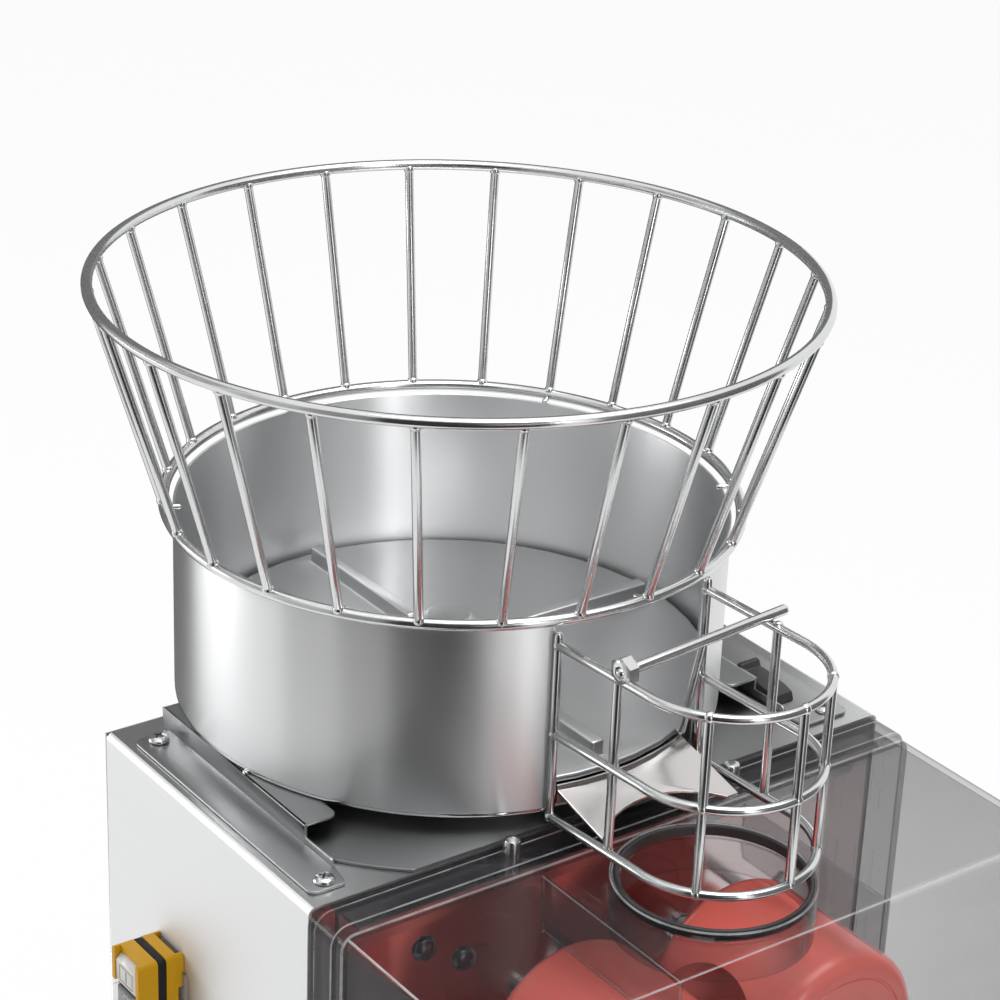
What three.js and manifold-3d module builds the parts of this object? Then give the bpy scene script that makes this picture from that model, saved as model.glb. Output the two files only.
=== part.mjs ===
// An automatic orange juicer: a steel cabinet with a wire fruit basket, a turntable hopper, four geared
// press drums behind a clear cover, and a juice tank with a tap between two peel bins.
// Millimetres, +Z up. While it is built, x = 0 is the cabinet's middle plane, y = 0 the hopper's axis
// and z = 0 the cabinet's top. At the end the whole machine is stood on z = 0, centred over its footprint.

import * as THREE from 'three';
import { mergeVertices } from 'three/addons/utils/BufferGeometryUtils.js';
import { RoundedBoxGeometry } from 'three/addons/geometries/RoundedBoxGeometry.js';
import Module from 'manifold-3d';

const wasm = await Module();
wasm.setup();

// General fits
const clearance = 0.3;
const overrun = 10;
const weldTolerance = 0.0001;
const sheetThickness = 1.5;

// Cabinet
const cabinetWidth = 373;
const cabinetDepth = 204.5;
const cabinetHeight = 498;
const cabinetFrontReach = 139.7;
const cabinetBendRadius = 4;
const frontPanelThickness = 2;
const panelScrewHeadRadius = 7;
const panelScrewHeadHeight = 4;
const panelScrewShankRadius = 3;
const panelScrewOutboard = 117;
const panelScrewPitch = 25;
const panelScrewDrop = 47;
const panelScrewStep = 15;

// Rear cover and its vents
const rearMargin = 0.5;
const rearSlotLength = 70;
const rearSlotWidth = 3.5;
const rearSlotPitch = 16;
const rearSlotRows = 6;
const rearSlotColumns = 2;
const rearSlotColumnPitch = 120;
const rearSlotDrop = 330;
const inletPlateWidth = 50;
const inletPlateHeight = 30;
const inletPlateThickness = 3;
const inletBodyWidth = 30;
const inletBodyHeight = 22;
const inletBodyDepth = 24;
const inletSocketWidth = 24;
const inletSocketHeight = 16;
const inletSocketDepth = 15;
const inletSideInset = 61.5;
const inletRise = 70;

// Base and feet
const baseThickness = 2.5;
const baseVentOutboard = 85;
const baseVentWidth = 70;
const baseVentDepth = 50;
const baseCornerRadius = 12;
const footHeight = 27.2;
const footTopRadius = 20;
const footBottomRadius = 16;
const footInset = 34;
const footWaistShare = 0.35;

// Hopper drum, its floor and its mouth
const drumRadiusShare = 0.402145;
const drumShift = 8.6;
const drumLift = 13.3;
const drumHeight = 109;
const mouthLeftReach = 38.8;
const mouthRightReach = 64.2;
const mouthCutShare = 0.6;

// Z-shaped drum brackets and their screws
const bracketWebInset = 2.6;
const bracketBackInset = 10.8;
const bracketFootBackInset = 16.8;
const bracketWebFrontReach = 90;
const bracketFootFrontReach = 131;
const bracketLipFrontReach = 118;
const bracketLipHeight = 6;
const bracketTopWidth = 20;
const bracketLeftFootWidth = 22;
const bracketRightFootWidth = 33.5;
const bracketCornerRadius = 5;
const bracketScrewInset = 9;
const bracketScrewEndInset = 7;
const bracketScrewHeadRadius = 6;
const bracketScrewHeadHeight = 3;
const bracketScrewShankRadius = 2.2;
const bracketScrewLength = 10;
const latchWidth = 14;
const latchLength = 34;
const latchHeight = 9;
const latchBack = 72;
const latchHookWidth = 5;
const latchHookLength = 10;
const latchHookHeight = 3;

// Turntable and its gearmotor
const tableRimGap = 5;
const tableHeight = 30;
const tableThickness = 4;
const tableConeRadius = 42;
const tableConeHeight = 24;
const tableTipRadius = 12;
const tableFinCount = 4;
const tableFinHeight = 9;
const tableFinWidth = 8;
const tableFinInner = 34;
const tableFinRimGap = 9;
const tableShaftRadius = 8;
const tableShaftInsertion = 22;
const tableHubRadius = 18;
const tableMotorWidth = 56;
const tableMotorHeight = 44;
const tableMotorCanRadius = 24;
const tableMotorCanHeight = 62;

// Wire basket
const basketSplayWidth = 37.5;
const basketLowGap = 4.8;
const basketHeight = 123.1;
const basketLowLift = 3.3;
const basketRingWire = 3;
const basketRodWire = 2.5;
const basketRodCount = 24;
const basketRodStart = THREE.MathUtils.degToRad(4);
const basketHookWire = 1.5;
const basketHookCount = 6;
const basketHookLength = 9;

// Guide cage over the inlet
const cageWire = 2.5;
const cageRadius = 51;
const cageCentreShift = 8.5;
const cageCentreSetback = 10.8;
const cageTop = 110.5;
const cageMiddle = 60.5;
const cageBottom = 12.5;
const cagePostTop = 118;
const cageSidePostSetback = 22;
const cageFrontPostAngles = [-140, -84, -40].map(THREE.MathUtils.degToRad);
const cageBraceTop = 78;
const cageBraceBottom = 29;
const cageBraceShift = 11;
const crossbarWire = 2.8;
const crossbarLeftSetback = 17;
const crossbarRightSetback = 27;
const crossbarOverhang = 8;
const nutWidth = 13;
const nutThickness = 8;
const hexagonSides = 6;

// Fruit chute
const chuteThickness = 1.5;
const chuteTop = 26;
const chuteDrop = 12;
const chuteHalfWidth = 44;
const chuteApronThickness = 1.5;
const chuteCutRadius = 57;
const chuteStartShare = 0.9;
const chuteEndShare = 0.7;

// Fruit inlet and its seal
const inletDrumGap = 72.8;
const inletOuterRadius = 52.5;
const inletWall = 1.9;
const inletCollarDepth = 25;
const inletLip = 3;
const sealInnerRadius = 47.8;
const sealHeight = 6;
const sealLedgeWidth = 2.5;
const sealLedgeHeight = 2;

// Clear front cover, the ledge it sits on and the two locating pins
const coverDrop = 2;
const coverBottomGap = 7;
const coverFrontGap = 60.2;
const coverSideInset = 3.5;
const coverWall = 3;
const coverEdgeRadius = 4;
const coverEdgeSteps = 3;
const flangeDepth = 28;
const flangeOverhang = 1;
const flangeRise = 0.5;
const flangeThickness = 5.5;
const flangeCornerRadius = 5;
const ribReach = 66;
const ribDepth = 34;
const ribThickness = 2;
const ledgeSideInset = 16.5;
const ledgeDepth = 20;
const ledgeDrop = 26;
const pinRadius = 4.5;
const pinRise = 8.5;
const pinReach = 150;
const pinSpacing = 144;
const pinNotchClearance = 0.8;

// Press drums, their shafts and gears
const gearRadiusShare = 0.144772;
const gearTeeth = 30;
const gearWidth = 12;
const gearPanelGap = 4;
const toothHeightShare = 0.9;
const toothRootShare = 1.25;
const toothTipShare = 0.1;
const toothRootWidthShare = 0.31;
const pinionTeeth = 12;
const pinionDirection = THREE.MathUtils.degToRad(-120);
const pressTopGap = 41;
const ballOutsetShare = 0.6018;
const pressHalfLength = 47;
const lobeGap = 2;
const cupRadiusShare = 0.685;
const ballRadiusShare = 0.574;
const ballHubShare = 0.407;
const ballNeckShare = 0.352;
const shaftRadius = 8;
const shaftCapRadius = 13;
const shaftCapLength = 6;
const shaftTail = 8;

// Gear frame and main gearmotor
const gearFrameThickness = 3;
const gearFrameSideMargin = 38.5;
const gearFrameMargin = 46;
const gearPostRadius = 6;
const gearPostInset = 8;
const motorGearboxWidth = 84;
const motorGearboxDepth = 52;
const motorCanRadius = 36;
const motorRearGap = 25.5;
const motorShaftInsertion = 20;

// Knife and peel ejectors
const knifeThickness = 2;
const knifeTopDrop = 5;
const knifeHeight = 64;
const knifeEdge = 8;
const knifeFootWidth = 24;
const knifeFootThickness = 2;
const ejectorThickness = 2;
const ejectorGap = 1.5;
const ejectorLength = 46;
const ejectorSlope = THREE.MathUtils.degToRad(36);
const ejectorFootHeight = 24;

// Filter tray, juice tank, tap and shelf
const trayBinGap = 6;
const trayWall = 2;
const trayBack = 145;
const filterFrontReach = 272;
const filterTopGap = 2;
const filterHeightShare = 0.144;
const filterSlotCount = 12;
const filterSlotWidth = 3;
const filterSlotMargin = 14;
const filterLipDepth = 10;
const tankFrontReach = 262;
const tankHeightShare = 0.288;
const tankWall = 3;
const shelfThickness = 2;
const shelfGussetShare = 0.192;
const tapRadius = 9;
const tapLength = 34;
const tapRise = 15;
const tapBore = 5;
const tapSpoutRadius = 8;
const tapSpoutDrop = 22;
const tapNutRadius = 13;
const tapNutLength = 6;
const tapStemRadius = 3.5;
const tapStemHeight = 8;
const leverThickness = 4;
const leverWidth = 9;
const leverLength = 30;

// Peel bins and drip tray
const binInnerReach = 90;
const binSideInset = 2.5;
const binFrontReach = 280;
const binTopGap = 6;
const binWall = 2;
const binTaper = 10;
const binLipDepth = 12;
const dripHeight = 14;
const dripWall = 2;
const dripSlotCount = 12;
const dripSlotWidth = 3.5;
const dripSlotMargin = 10;

// Switch on the left side
const switchCentreReach = 3;
const switchTopDrop = 94.5;
const switchHeight = 48;
const switchWidth = 28.6;
const switchPlateThickness = 1.6;
const switchPlateSideMargin = 6;
const switchPlateBottomMargin = 4;
const switchPlateShoulderDrop = 11;
const switchPlateTopDrop = 1.5;
const switchPlateNeckWidth = 20;
const switchRearDepth = 8.4;
const switchSealDepth = 4.6;
const switchFrontDepth = 8.4;
const switchCornerRadius = 3;
const hoodCheekReach = 3.7;
const hoodCheekHeight = 20.5;
const hoodCheekWidth = 3;
const buttonHeight = 16;
const buttonTopDrop = 4;
const buttonProud = 3;
const lowerButtonProud = 5.5;
const buttonTravel = 2.5;
const buttonInset = 6;
const buttonGap = 1;

// Facets of round pieces
const ringFacets = 48;
const drumFacets = 60;
const pressFacets = 32;
const sphereFacets = 16;
const shaftFacets = 16;
const wireFacets = 6;
const arcSteps = 12;
const cageSteps = 22;
const bendSteps = 4;
const screwFacets = 12;
const footFacets = 16;

// Places worked out from the sizes above
const cabinetHalf = cabinetWidth / 2;
const drumRadius = cabinetWidth * drumRadiusShare;
const cabinetFront = -cabinetFrontReach;
const cabinetBack = cabinetFront + cabinetDepth;
const panelBack = cabinetFront + frontPanelThickness;
const bracketWebReach = drumRadius - bracketWebInset;
const bracketBack = cabinetBack - bracketBackInset;
const bracketFootBack = cabinetBack - bracketFootBackInset;
const tableRadius = drumRadius - tableRimGap;
const tableFinOuter = tableRadius - tableFinRimGap;
const basketLowRadius = drumRadius + basketLowGap;
const basketTopRadius = basketLowRadius + basketSplayWidth;
const baseTop = -cabinetHeight - clearance;
const baseBottom = baseTop - baseThickness;
const drumX = -drumShift;
const drumFloor = drumLift;
const drumFloorTop = drumFloor + sheetThickness;
const drumRim = drumFloor + drumHeight;
const basketLow = drumRim + basketLowLift;
const basketTop = basketLow + basketHeight;
const mouthLeft = drumX - mouthLeftReach;
const mouthRight = drumX + mouthRightReach;
const inletReach = drumRadius + inletDrumGap;
const cageCentreReach = inletReach - cageCentreSetback;
const cageSidePostReach = cageCentreReach - cageSidePostSetback;
const crossbarLeftReach = cageCentreReach - crossbarLeftSetback;
const crossbarRightReach = cageCentreReach - crossbarRightSetback;
const coverFrontReach = inletReach + coverFrontGap;
const cageCentreX = cageCentreShift;
const cageCentreY = -cageCentreReach;
const inletY = -inletReach;
const inletOutboard = cabinetHalf - inletSideInset;
const coverTop = -coverDrop;
const coverFront = -coverFrontReach;
const coverBack = cabinetFront - clearance;
const coverHalfWidth = cabinetHalf - coverSideInset;
const flangeHalfWidth = cabinetHalf + flangeOverhang;
const ledgeHalfWidth = cabinetHalf - ledgeSideInset;
const flangeTop = flangeRise;
const flangeUnder = flangeTop - flangeThickness;
const flangeFront = coverBack - flangeDepth;
const ledgeTop = flangeUnder - clearance;
const gearRadius = cabinetWidth * gearRadiusShare;
const cupRadius = gearRadius * cupRadiusShare;
const ballRadius = gearRadius * ballRadiusShare;
const ballHubRadius = gearRadius * ballHubShare;
const ballNeckRadius = gearRadius * ballNeckShare;
const ballOutset = gearRadius * ballOutsetShare;
const cupRise = -gearRadius - pressTopGap;
const ballDrop = Math.sqrt((2 * gearRadius) ** 2 - ballOutset ** 2);
const ballRise = cupRise - ballDrop;
const coverBottom = ballRise - gearRadius - ballRadius - coverBottomGap;
const coverHeight = coverTop - coverBottom;
const lobeRadius = gearRadius - lobeGap;
const pressFront = inletY - pressHalfLength;
const pressBack = inletY + pressHalfLength;
const gearFront = panelBack + gearPanelGap;
const gearBack = gearFront + gearWidth;
const gearFrameFront = gearBack + gearPanelGap;
const gearFrameBack = gearFrameFront + gearFrameThickness;
const gearModule = 2 * gearRadius / gearTeeth;
const pinionRadius = gearModule * pinionTeeth / 2;
const ballAxisReach = gearRadius + ballOutset;
const gearFrameHalfWidth = ballAxisReach + gearFrameSideMargin;
const pinionX = ballAxisReach + (gearRadius + pinionRadius) * Math.cos(pinionDirection);
const pinionZ = ballRise + (gearRadius + pinionRadius) * Math.sin(pinionDirection);
const heightBelowCover = cabinetHeight + coverBottom;
const filterHeight = heightBelowCover * filterHeightShare;
const tankHeight = heightBelowCover * tankHeightShare;
const shelfGussetHeight = heightBelowCover * shelfGussetShare;
const trayHalfWidth = binInnerReach - trayBinGap;
const binOuterReach = cabinetHalf - binSideInset;
const filterTop = coverBottom - filterTopGap;
const filterBottom = filterTop - filterHeight;
const tankTop = filterBottom - clearance;
const tankBottom = tankTop - tankHeight;
const binTop = coverBottom - binTopGap;
const floorOfBins = baseTop + clearance;

const steel = { color: 0xc9cbcc, roughness: 0.3, metalness: 1 };
const polished = { color: 0xd8d9da, roughness: 0.15, metalness: 1 };
const darkSteel = { color: 0x8b8d8f, roughness: 0.45, metalness: 1 };
const gearSteel = { color: 0x9a9c9e, roughness: 0.4, metalness: 1 };
const pressRed = { color: 0xc8403a, roughness: 0.35, metalness: 0 };
const smoke = { color: 0x7d7d80, roughness: 0.08, metalness: 0, transparent: true, opacity: 0.4 };
const blackRubber = { color: 0x161616, roughness: 0.7, metalness: 0 };
const blackPlastic = { color: 0x202022, roughness: 0.4, metalness: 0 };
const greyPlastic = { color: 0x4c4e50, roughness: 0.45, metalness: 0 };
const yellow = { color: 0xe0a010, roughness: 0.4, metalness: 0 };
const white = { color: 0xe9e8e0, roughness: 0.35, metalness: 0 };

const group = new THREE.Group();

// Turns a closed geometry into a solid: equal points merged, empty triangles dropped, faces outward.
function solid(geometry) {
  const bare = new THREE.BufferGeometry();
  bare.setAttribute('position', geometry.getAttribute('position').clone());
  if (geometry.index) bare.setIndex(geometry.index.clone());
  const merged = mergeVertices(bare, weldTolerance);
  const points = merged.getAttribute('position').array;
  const corners = merged.index.array;
  const kept = [];
  let volume = 0;
  for (let i = 0; i < corners.length; i += 3) {
    const [a, b, c] = [corners[i], corners[i + 1], corners[i + 2]];
    if (a === b || b === c || c === a) continue;
    kept.push(a, b, c);
    const [p, q, r] = [a, b, c].map((k) => new THREE.Vector3().fromArray(points, 3 * k));
    volume += p.dot(q.cross(r));
  }
  if (volume < 0) kept.reverse();
  return new wasm.Manifold(new wasm.Mesh({
    numProp: 3,
    vertProperties: new Float32Array(points),
    triVerts: new Uint32Array(kept),
  }));
}

function add(name, body, look, parent = group) {
  const mesh = body.getMesh();
  const geometry = new THREE.BufferGeometry();
  geometry.setAttribute('position', new THREE.BufferAttribute(mesh.vertProperties, 3));
  geometry.setIndex(new THREE.BufferAttribute(mesh.triVerts, 1));
  geometry.computeVertexNormals();
  const piece = new THREE.Mesh(geometry, new THREE.MeshStandardMaterial(look));
  piece.name = name;
  parent.add(piece);
  return piece;
}

function joined(bodies) {
  return bodies.reduce((whole, body) => whole.add(body));
}

function cut(body, ...cutters) {
  return cutters.reduce((whole, cutter) => whole.subtract(cutter), body);
}

// A box between two x, two y and two z values.
function block([x0, x1], [y0, y1], [z0, z1]) {
  const box = new THREE.BoxGeometry(x1 - x0, y1 - y0, z1 - z0);
  return solid(box.translate((x0 + x1) / 2, (y0 + y1) / 2, (z0 + z1) / 2));
}

// A round bar from one point to another.
function bar(radius, from, to, facets = shaftFacets, endRadius = radius) {
  const start = new THREE.Vector3(...from);
  const way = new THREE.Vector3(...to).sub(start);
  const cylinder = new THREE.CylinderGeometry(endRadius, radius, way.length(), facets);
  const turn = new THREE.Quaternion().setFromUnitVectors(new THREE.Vector3(0, 1, 0), way.clone().normalize());
  cylinder.applyQuaternion(turn);
  const middle = start.addScaledVector(way, 1 / 2);
  return solid(cylinder.translate(middle.x, middle.y, middle.z));
}

function upright(radius, x, y, [z0, z1], facets) {
  return bar(radius, [x, y, z0], [x, y, z1], facets);
}

function alongYBar(radius, x, z, [y0, y1], facets) {
  return bar(radius, [x, y0, z], [x, y1, z], facets);
}

function ball(radius, x, y, z) {
  const sphere = new THREE.SphereGeometry(radius, sphereFacets, sphereFacets / 2);
  return solid(sphere.translate(x, y, z));
}

function hoop(radius, wire, x, y, z, facets = ringFacets) {
  return solid(new THREE.TorusGeometry(radius, wire, wireFacets, facets).translate(x, y, z));
}

// A profile of [radius, height] pairs turned about an upright axis.
function turned(profile, x, y, facets) {
  const lathe = new THREE.LatheGeometry(profile.map((pair) => new THREE.Vector2(...pair)), facets);
  return solid(lathe.rotateX(Math.PI / 2).translate(x, y, 0));
}

function outline(points) {
  return new THREE.Shape(points.map((point) => new THREE.Vector2(...point)));
}

function roundedOutline([u0, u1], [v0, v1], radius) {
  const shape = new THREE.Shape();
  shape.absarc(u1 - radius, v1 - radius, radius, 0, Math.PI / 2);
  shape.absarc(u0 + radius, v1 - radius, radius, Math.PI / 2, Math.PI);
  shape.absarc(u0 + radius, v0 + radius, radius, Math.PI, 3 * Math.PI / 2);
  shape.absarc(u1 - radius, v0 + radius, radius, 3 * Math.PI / 2, 2 * Math.PI);
  return shape;
}

function extrusion(shape, depth, steps = bendSteps) {
  return new THREE.ExtrudeGeometry(shape, { depth, bevelEnabled: false, curveSegments: steps });
}

// An x-y outline raised between two heights.
function alongZ(shape, [z0, z1], steps) {
  return solid(extrusion(shape, z1 - z0, steps).translate(0, 0, z0));
}

// An x-z outline drawn out between two y values.
function alongY(shape, [y0, y1], steps) {
  return solid(extrusion(shape, y1 - y0, steps).rotateX(Math.PI / 2).translate(0, y1, 0));
}

// A y-z outline drawn out between two x values.
function alongX(shape, [x0, x1], steps) {
  const geometry = extrusion(shape, x1 - x0, steps);
  const turn = new THREE.Matrix4().makeBasis(
    new THREE.Vector3(0, 1, 0),
    new THREE.Vector3(0, 0, 1),
    new THREE.Vector3(1, 0, 0),
  );
  return solid(geometry.applyMatrix4(turn).translate(x0, 0, 0));
}

// A wire swept along a path that stays open.
function wire(path, radius, steps) {
  const section = new THREE.Shape();
  section.absarc(0, 0, radius, 0, 2 * Math.PI);
  return solid(new THREE.ExtrudeGeometry(section, {
    steps,
    extrudePath: path,
    curveSegments: wireFacets,
    bevelEnabled: false,
  }));
}

const mirrored = (pair) => [-pair[1], -pair[0]];
const range = (count) => [...Array(count).keys()];

// Screw places on the two bracket feet, as [x, y].
function bracketScrews(side) {
  const footWidth = side < 0 ? bracketLeftFootWidth : bracketRightFootWidth;
  const x = drumX + side * (bracketWebReach + footWidth - bracketScrewInset - sheetThickness);
  return [[x, bracketFootBack - bracketScrewEndInset], [x, -bracketFootFrontReach + bracketScrewEndInset]];
}

// Cabinet: one sheet bent over the top and both sides, open at the front and the back.
function cabinetShell() {
  const outer = outline([
    [cabinetHalf, -cabinetHeight],
    ...bend(cabinetHalf, 0, cabinetBendRadius),
    ...bend(-cabinetHalf, 0, cabinetBendRadius),
    [-cabinetHalf, -cabinetHeight],
  ]);
  const inner = cabinetHalf - sheetThickness;
  const hollow = block([-inner, inner], [cabinetFront - overrun, cabinetBack + overrun],
    [-cabinetHeight - overrun, -sheetThickness]);
  const shaftHole = upright(tableShaftRadius + clearance, drumX, 0, [-overrun, overrun]);
  const screwHoles = [-1, 1].flatMap(bracketScrews).map(([x, y]) =>
    upright(bracketScrewShankRadius + clearance, x, y, [-overrun, overrun], screwFacets));
  return cut(alongY(outer, [cabinetFront, cabinetBack]), hollow, shaftHole, ...screwHoles);
}

// The points of a bent top corner, run towards -x over the top.
function bend(x, z, radius) {
  const side = Math.sign(x);
  const start = side > 0 ? 0 : Math.PI / 2;
  return range(bendSteps + 1).map((k) => {
    const angle = start + k * Math.PI / 2 / bendSteps;
    return [x - side * radius + radius * Math.cos(angle), z - radius + radius * Math.sin(angle)];
  });
}

const pressAxes = [
  { name: 'cup_left', x: -gearRadius, z: cupRise },
  { name: 'cup_right', x: gearRadius, z: cupRise },
  { name: 'ball_left', x: -ballAxisReach, z: ballRise },
  { name: 'ball_right', x: ballAxisReach, z: ballRise },
];

const panelScrewPlaces = range(2).map((k) =>
  [-panelScrewOutboard + k * panelScrewPitch, -panelScrewDrop - k * panelScrewStep]);

function frontPanel() {
  const half = cabinetHalf - sheetThickness - clearance;
  const plate = block([-half, half], [cabinetFront, panelBack],
    [-cabinetHeight, -sheetThickness - clearance]);
  const through = [cabinetFront - overrun, panelBack + overrun];
  const shaftHoles = pressAxes.map(({ x, z }) => alongYBar(shaftRadius + clearance, x, z, through));
  const screwHoles = panelScrewPlaces.map(([x, z]) =>
    alongYBar(panelScrewShankRadius + clearance, x, z, through, screwFacets));
  return cut(plate, ...shaftHoles, ...screwHoles);
}

// A dome-headed screw in the front panel, its head towards -y.
function panelScrew([x, z]) {
  const head = cabinetFront - clearance;
  const dome = ball(panelScrewHeadRadius, x, head, z);
  const slab = block([x - overrun, x + overrun], [head - panelScrewHeadHeight, head], [z - overrun, z + overrun]);
  const shank = alongYBar(panelScrewShankRadius, x, z, [head - panelScrewHeadHeight / 2, panelBack], screwFacets);
  return dome.intersect(slab).add(shank);
}

function rearCover() {
  const half = cabinetHalf - rearMargin;
  const back = cabinetBack + clearance;
  const plate = block([-half, half], [back, back + sheetThickness], [rearMargin - cabinetHeight, -rearMargin]);
  const slots = range(rearSlotRows * rearSlotColumns).map((k) => {
    const column = k % rearSlotColumns - (rearSlotColumns - 1) / 2;
    const x = column * rearSlotColumnPitch;
    const z = -rearSlotDrop - Math.floor(k / rearSlotColumns) * rearSlotPitch;
    return block([x - rearSlotLength / 2, x + rearSlotLength / 2], [back - overrun, back + overrun],
      [z - rearSlotWidth, z]);
  });
  const hole = inletBox(inletBodyWidth + 2 * clearance, inletBodyHeight + 2 * clearance,
    [back - overrun, back + overrun]);
  return cut(plate, ...slots, hole);
}

function inletBox(width, height, depth) {
  const z = rearMargin - cabinetHeight + inletRise;
  return block([inletOutboard - width / 2, inletOutboard + width / 2], depth, [z - height / 2, z + height / 2]);
}

function powerInlet() {
  const face = cabinetBack + sheetThickness + 2 * clearance;
  const plate = inletBox(inletPlateWidth, inletPlateHeight, [face, face + inletPlateThickness]);
  const body = inletBox(inletBodyWidth, inletBodyHeight, [face - inletBodyDepth, face + clearance]);
  const mouth = face + inletPlateThickness;
  const socket = inletBox(inletSocketWidth, inletSocketHeight, [mouth - inletSocketDepth, mouth + overrun]);
  return cut(plate.add(body), socket);
}

// The machine's floor, with two cut-outs under the cabinet that let cooling air in to the gearmotors.
function basePlate() {
  const shape = roundedOutline([-cabinetHalf, cabinetHalf], [-coverFrontReach, cabinetBack], baseCornerRadius);
  const vents = [-baseVentOutboard, baseVentOutboard].map((x) =>
    block([x - baseVentWidth / 2, x + baseVentWidth / 2], [-baseVentDepth, 0], [baseBottom - overrun, baseTop + overrun]));
  return cut(alongZ(shape, [baseBottom, baseTop]), ...vents);
}

function foot(x, y) {
  const top = baseBottom - clearance;
  return turned([
    [0, top],
    [footTopRadius, top],
    [footTopRadius, top - footHeight * footWaistShare],
    [footBottomRadius, top - footHeight],
    [0, top - footHeight],
  ], x, y, footFacets);
}

// Hopper: a drum with a flat floor, its mouth cut down to that floor.
function hopperDrum() {
  const inner = drumRadius - sheetThickness;
  const holeRadius = tableHubRadius + clearance;
  const wall = turned([
    [holeRadius, drumFloor], [drumRadius, drumFloor], [drumRadius, drumRim], [inner, drumRim],
    [inner, drumFloorTop], [holeRadius, drumFloorTop], [holeRadius, drumFloor],
  ], drumX, 0, drumFacets);
  const mouth = block([mouthLeft, mouthRight], [-drumRadius - overrun, -drumRadius * mouthCutShare],
    [drumFloorTop, drumRim + overrun]);
  return cut(wall, mouth);
}

// A Z bracket: foot on the cabinet, web up its inner edge, flange under the drum. A low lip carries on
// forward from the web. side is -1 or 1.
function drumBracket(side) {
  const footWidth = side < 0 ? bracketLeftFootWidth : bracketRightFootWidth;
  const web = [bracketWebReach, bracketWebReach + sheetThickness];
  const top = drumFloor - clearance;
  const reach = (pair) => (side > 0 ? pair : mirrored(pair)).map((x) => drumX + x);
  const footShape = roundedOutline(reach([web[0], web[1] + footWidth]), [-bracketFootFrontReach, bracketFootBack],
    bracketCornerRadius);
  const foot = alongZ(footShape, [clearance, clearance + sheetThickness]);
  const upper = block(reach([web[0] - bracketTopWidth, web[1]]), [-bracketWebFrontReach, bracketBack],
    [top - sheetThickness, top]);
  const wall = block(reach(web), [-bracketWebFrontReach, bracketBack - bracketCornerRadius], [clearance, top]);
  const lip = block(reach(web), [-bracketLipFrontReach, -bracketWebFrontReach + clearance],
    [clearance, bracketLipHeight]);
  const holes = bracketScrews(side).map(([x, y]) =>
    upright(bracketScrewShankRadius + clearance, x, y, [-overrun, overrun], screwFacets));
  return cut(joined([foot, wall, upper, lip]), ...holes);
}

function bracketScrew([x, y]) {
  const seat = 2 * clearance + sheetThickness;
  const tip = seat - bracketScrewLength;
  return turned([
    [0, tip], [bracketScrewShankRadius, tip], [bracketScrewShankRadius, seat], [bracketScrewHeadRadius, seat],
    [bracketScrewHeadRadius, seat + bracketScrewHeadHeight / 2],
    [bracketScrewHeadRadius / 2, seat + bracketScrewHeadHeight],
    [0, seat + bracketScrewHeadHeight],
  ], x, y, screwFacets);
}

// A black catch on the right bracket's foot, hooked towards the drum.
function drumLatch() {
  const x = drumX + bracketWebReach + sheetThickness + clearance;
  const z = 2 * clearance + sheetThickness;
  const body = block([x, x + latchWidth], [-latchBack - latchLength, -latchBack], [z, z + latchHeight]);
  const hook = block([x + latchWidth - latchHookWidth, x + latchWidth],
    [-latchBack - latchHookLength, -latchBack], [z + latchHeight, z + latchHeight + latchHookHeight]);
  return body.add(hook);
}

// Turntable: a finned disc with a raised cone, on the shaft that goes down into its gearmotor.
function turntable() {
  const under = tableHeight - tableThickness;
  const tip = -sheetThickness - clearance - tableShaftInsertion;
  const disc = turned([
    [0, tip], [tableShaftRadius, tip], [tableShaftRadius, clearance], [tableHubRadius, clearance],
    [tableHubRadius, under], [tableRadius, under], [tableRadius, tableHeight], [tableConeRadius, tableHeight],
    [tableTipRadius, tableHeight + tableConeHeight], [0, tableHeight + tableConeHeight],
  ], drumX, 0, ringFacets);
  const fins = range(tableFinCount).map((k) => {
    const angle = k * 2 * Math.PI / tableFinCount;
    const fin = new THREE.BoxGeometry(tableFinOuter - tableFinInner, tableFinWidth, tableFinHeight + tableThickness);
    fin.translate((tableFinInner + tableFinOuter) / 2, 0, tableHeight + (tableFinHeight - tableThickness) / 2);
    return solid(fin.rotateZ(angle).translate(drumX, 0, 0));
  });
  return joined([disc, ...fins]);
}

function turntableMotor() {
  const top = -sheetThickness - clearance;
  const half = tableMotorWidth / 2;
  const box = block([drumX - half, drumX + half], [-half, half], [top - tableMotorHeight, top]);
  const can = upright(tableMotorCanRadius, drumX, 0,
    [top - tableMotorHeight - tableMotorCanHeight, top - tableMotorHeight / 2]);
  const bore = upright(tableShaftRadius + clearance, drumX, 0, [top - tableShaftInsertion - clearance, top + overrun]);
  return cut(box.add(can), bore);
}

// Basket: two rings joined by splayed rods, with short hooks that rest on the drum's rim.
function wireBasket() {
  const rods = range(basketRodCount).map((k) => {
    const angle = basketRodStart + k * 2 * Math.PI / basketRodCount;
    const at = (radius, z) => [drumX + radius * Math.cos(angle), radius * Math.sin(angle), z];
    return bar(basketRodWire, at(basketLowRadius, basketLow), at(basketTopRadius, basketTop), wireFacets);
  });
  const hooks = range(basketHookCount).map((k) => {
    const angle = basketRodStart + (k + 1 / 2) * 2 * Math.PI / basketHookCount;
    const at = (radius) => [drumX + radius * Math.cos(angle), radius * Math.sin(angle),
      drumRim + clearance + basketHookWire];
    return bar(basketHookWire, at(basketLowRadius), at(basketLowRadius - basketHookLength), wireFacets);
  });
  return joined([
    hoop(basketTopRadius, basketRingWire, drumX, 0, basketTop),
    hoop(basketLowRadius, basketRingWire, drumX, 0, basketLow),
    ...rods,
    ...hooks,
  ]);
}

// Where the cage's two frame posts stand, just outside the drum at the mouth's edges.
function mouthPost(x) {
  const reach = drumRadius + cageWire + clearance;
  return [x, -Math.sqrt(reach ** 2 - (x - drumX) ** 2)];
}

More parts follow.
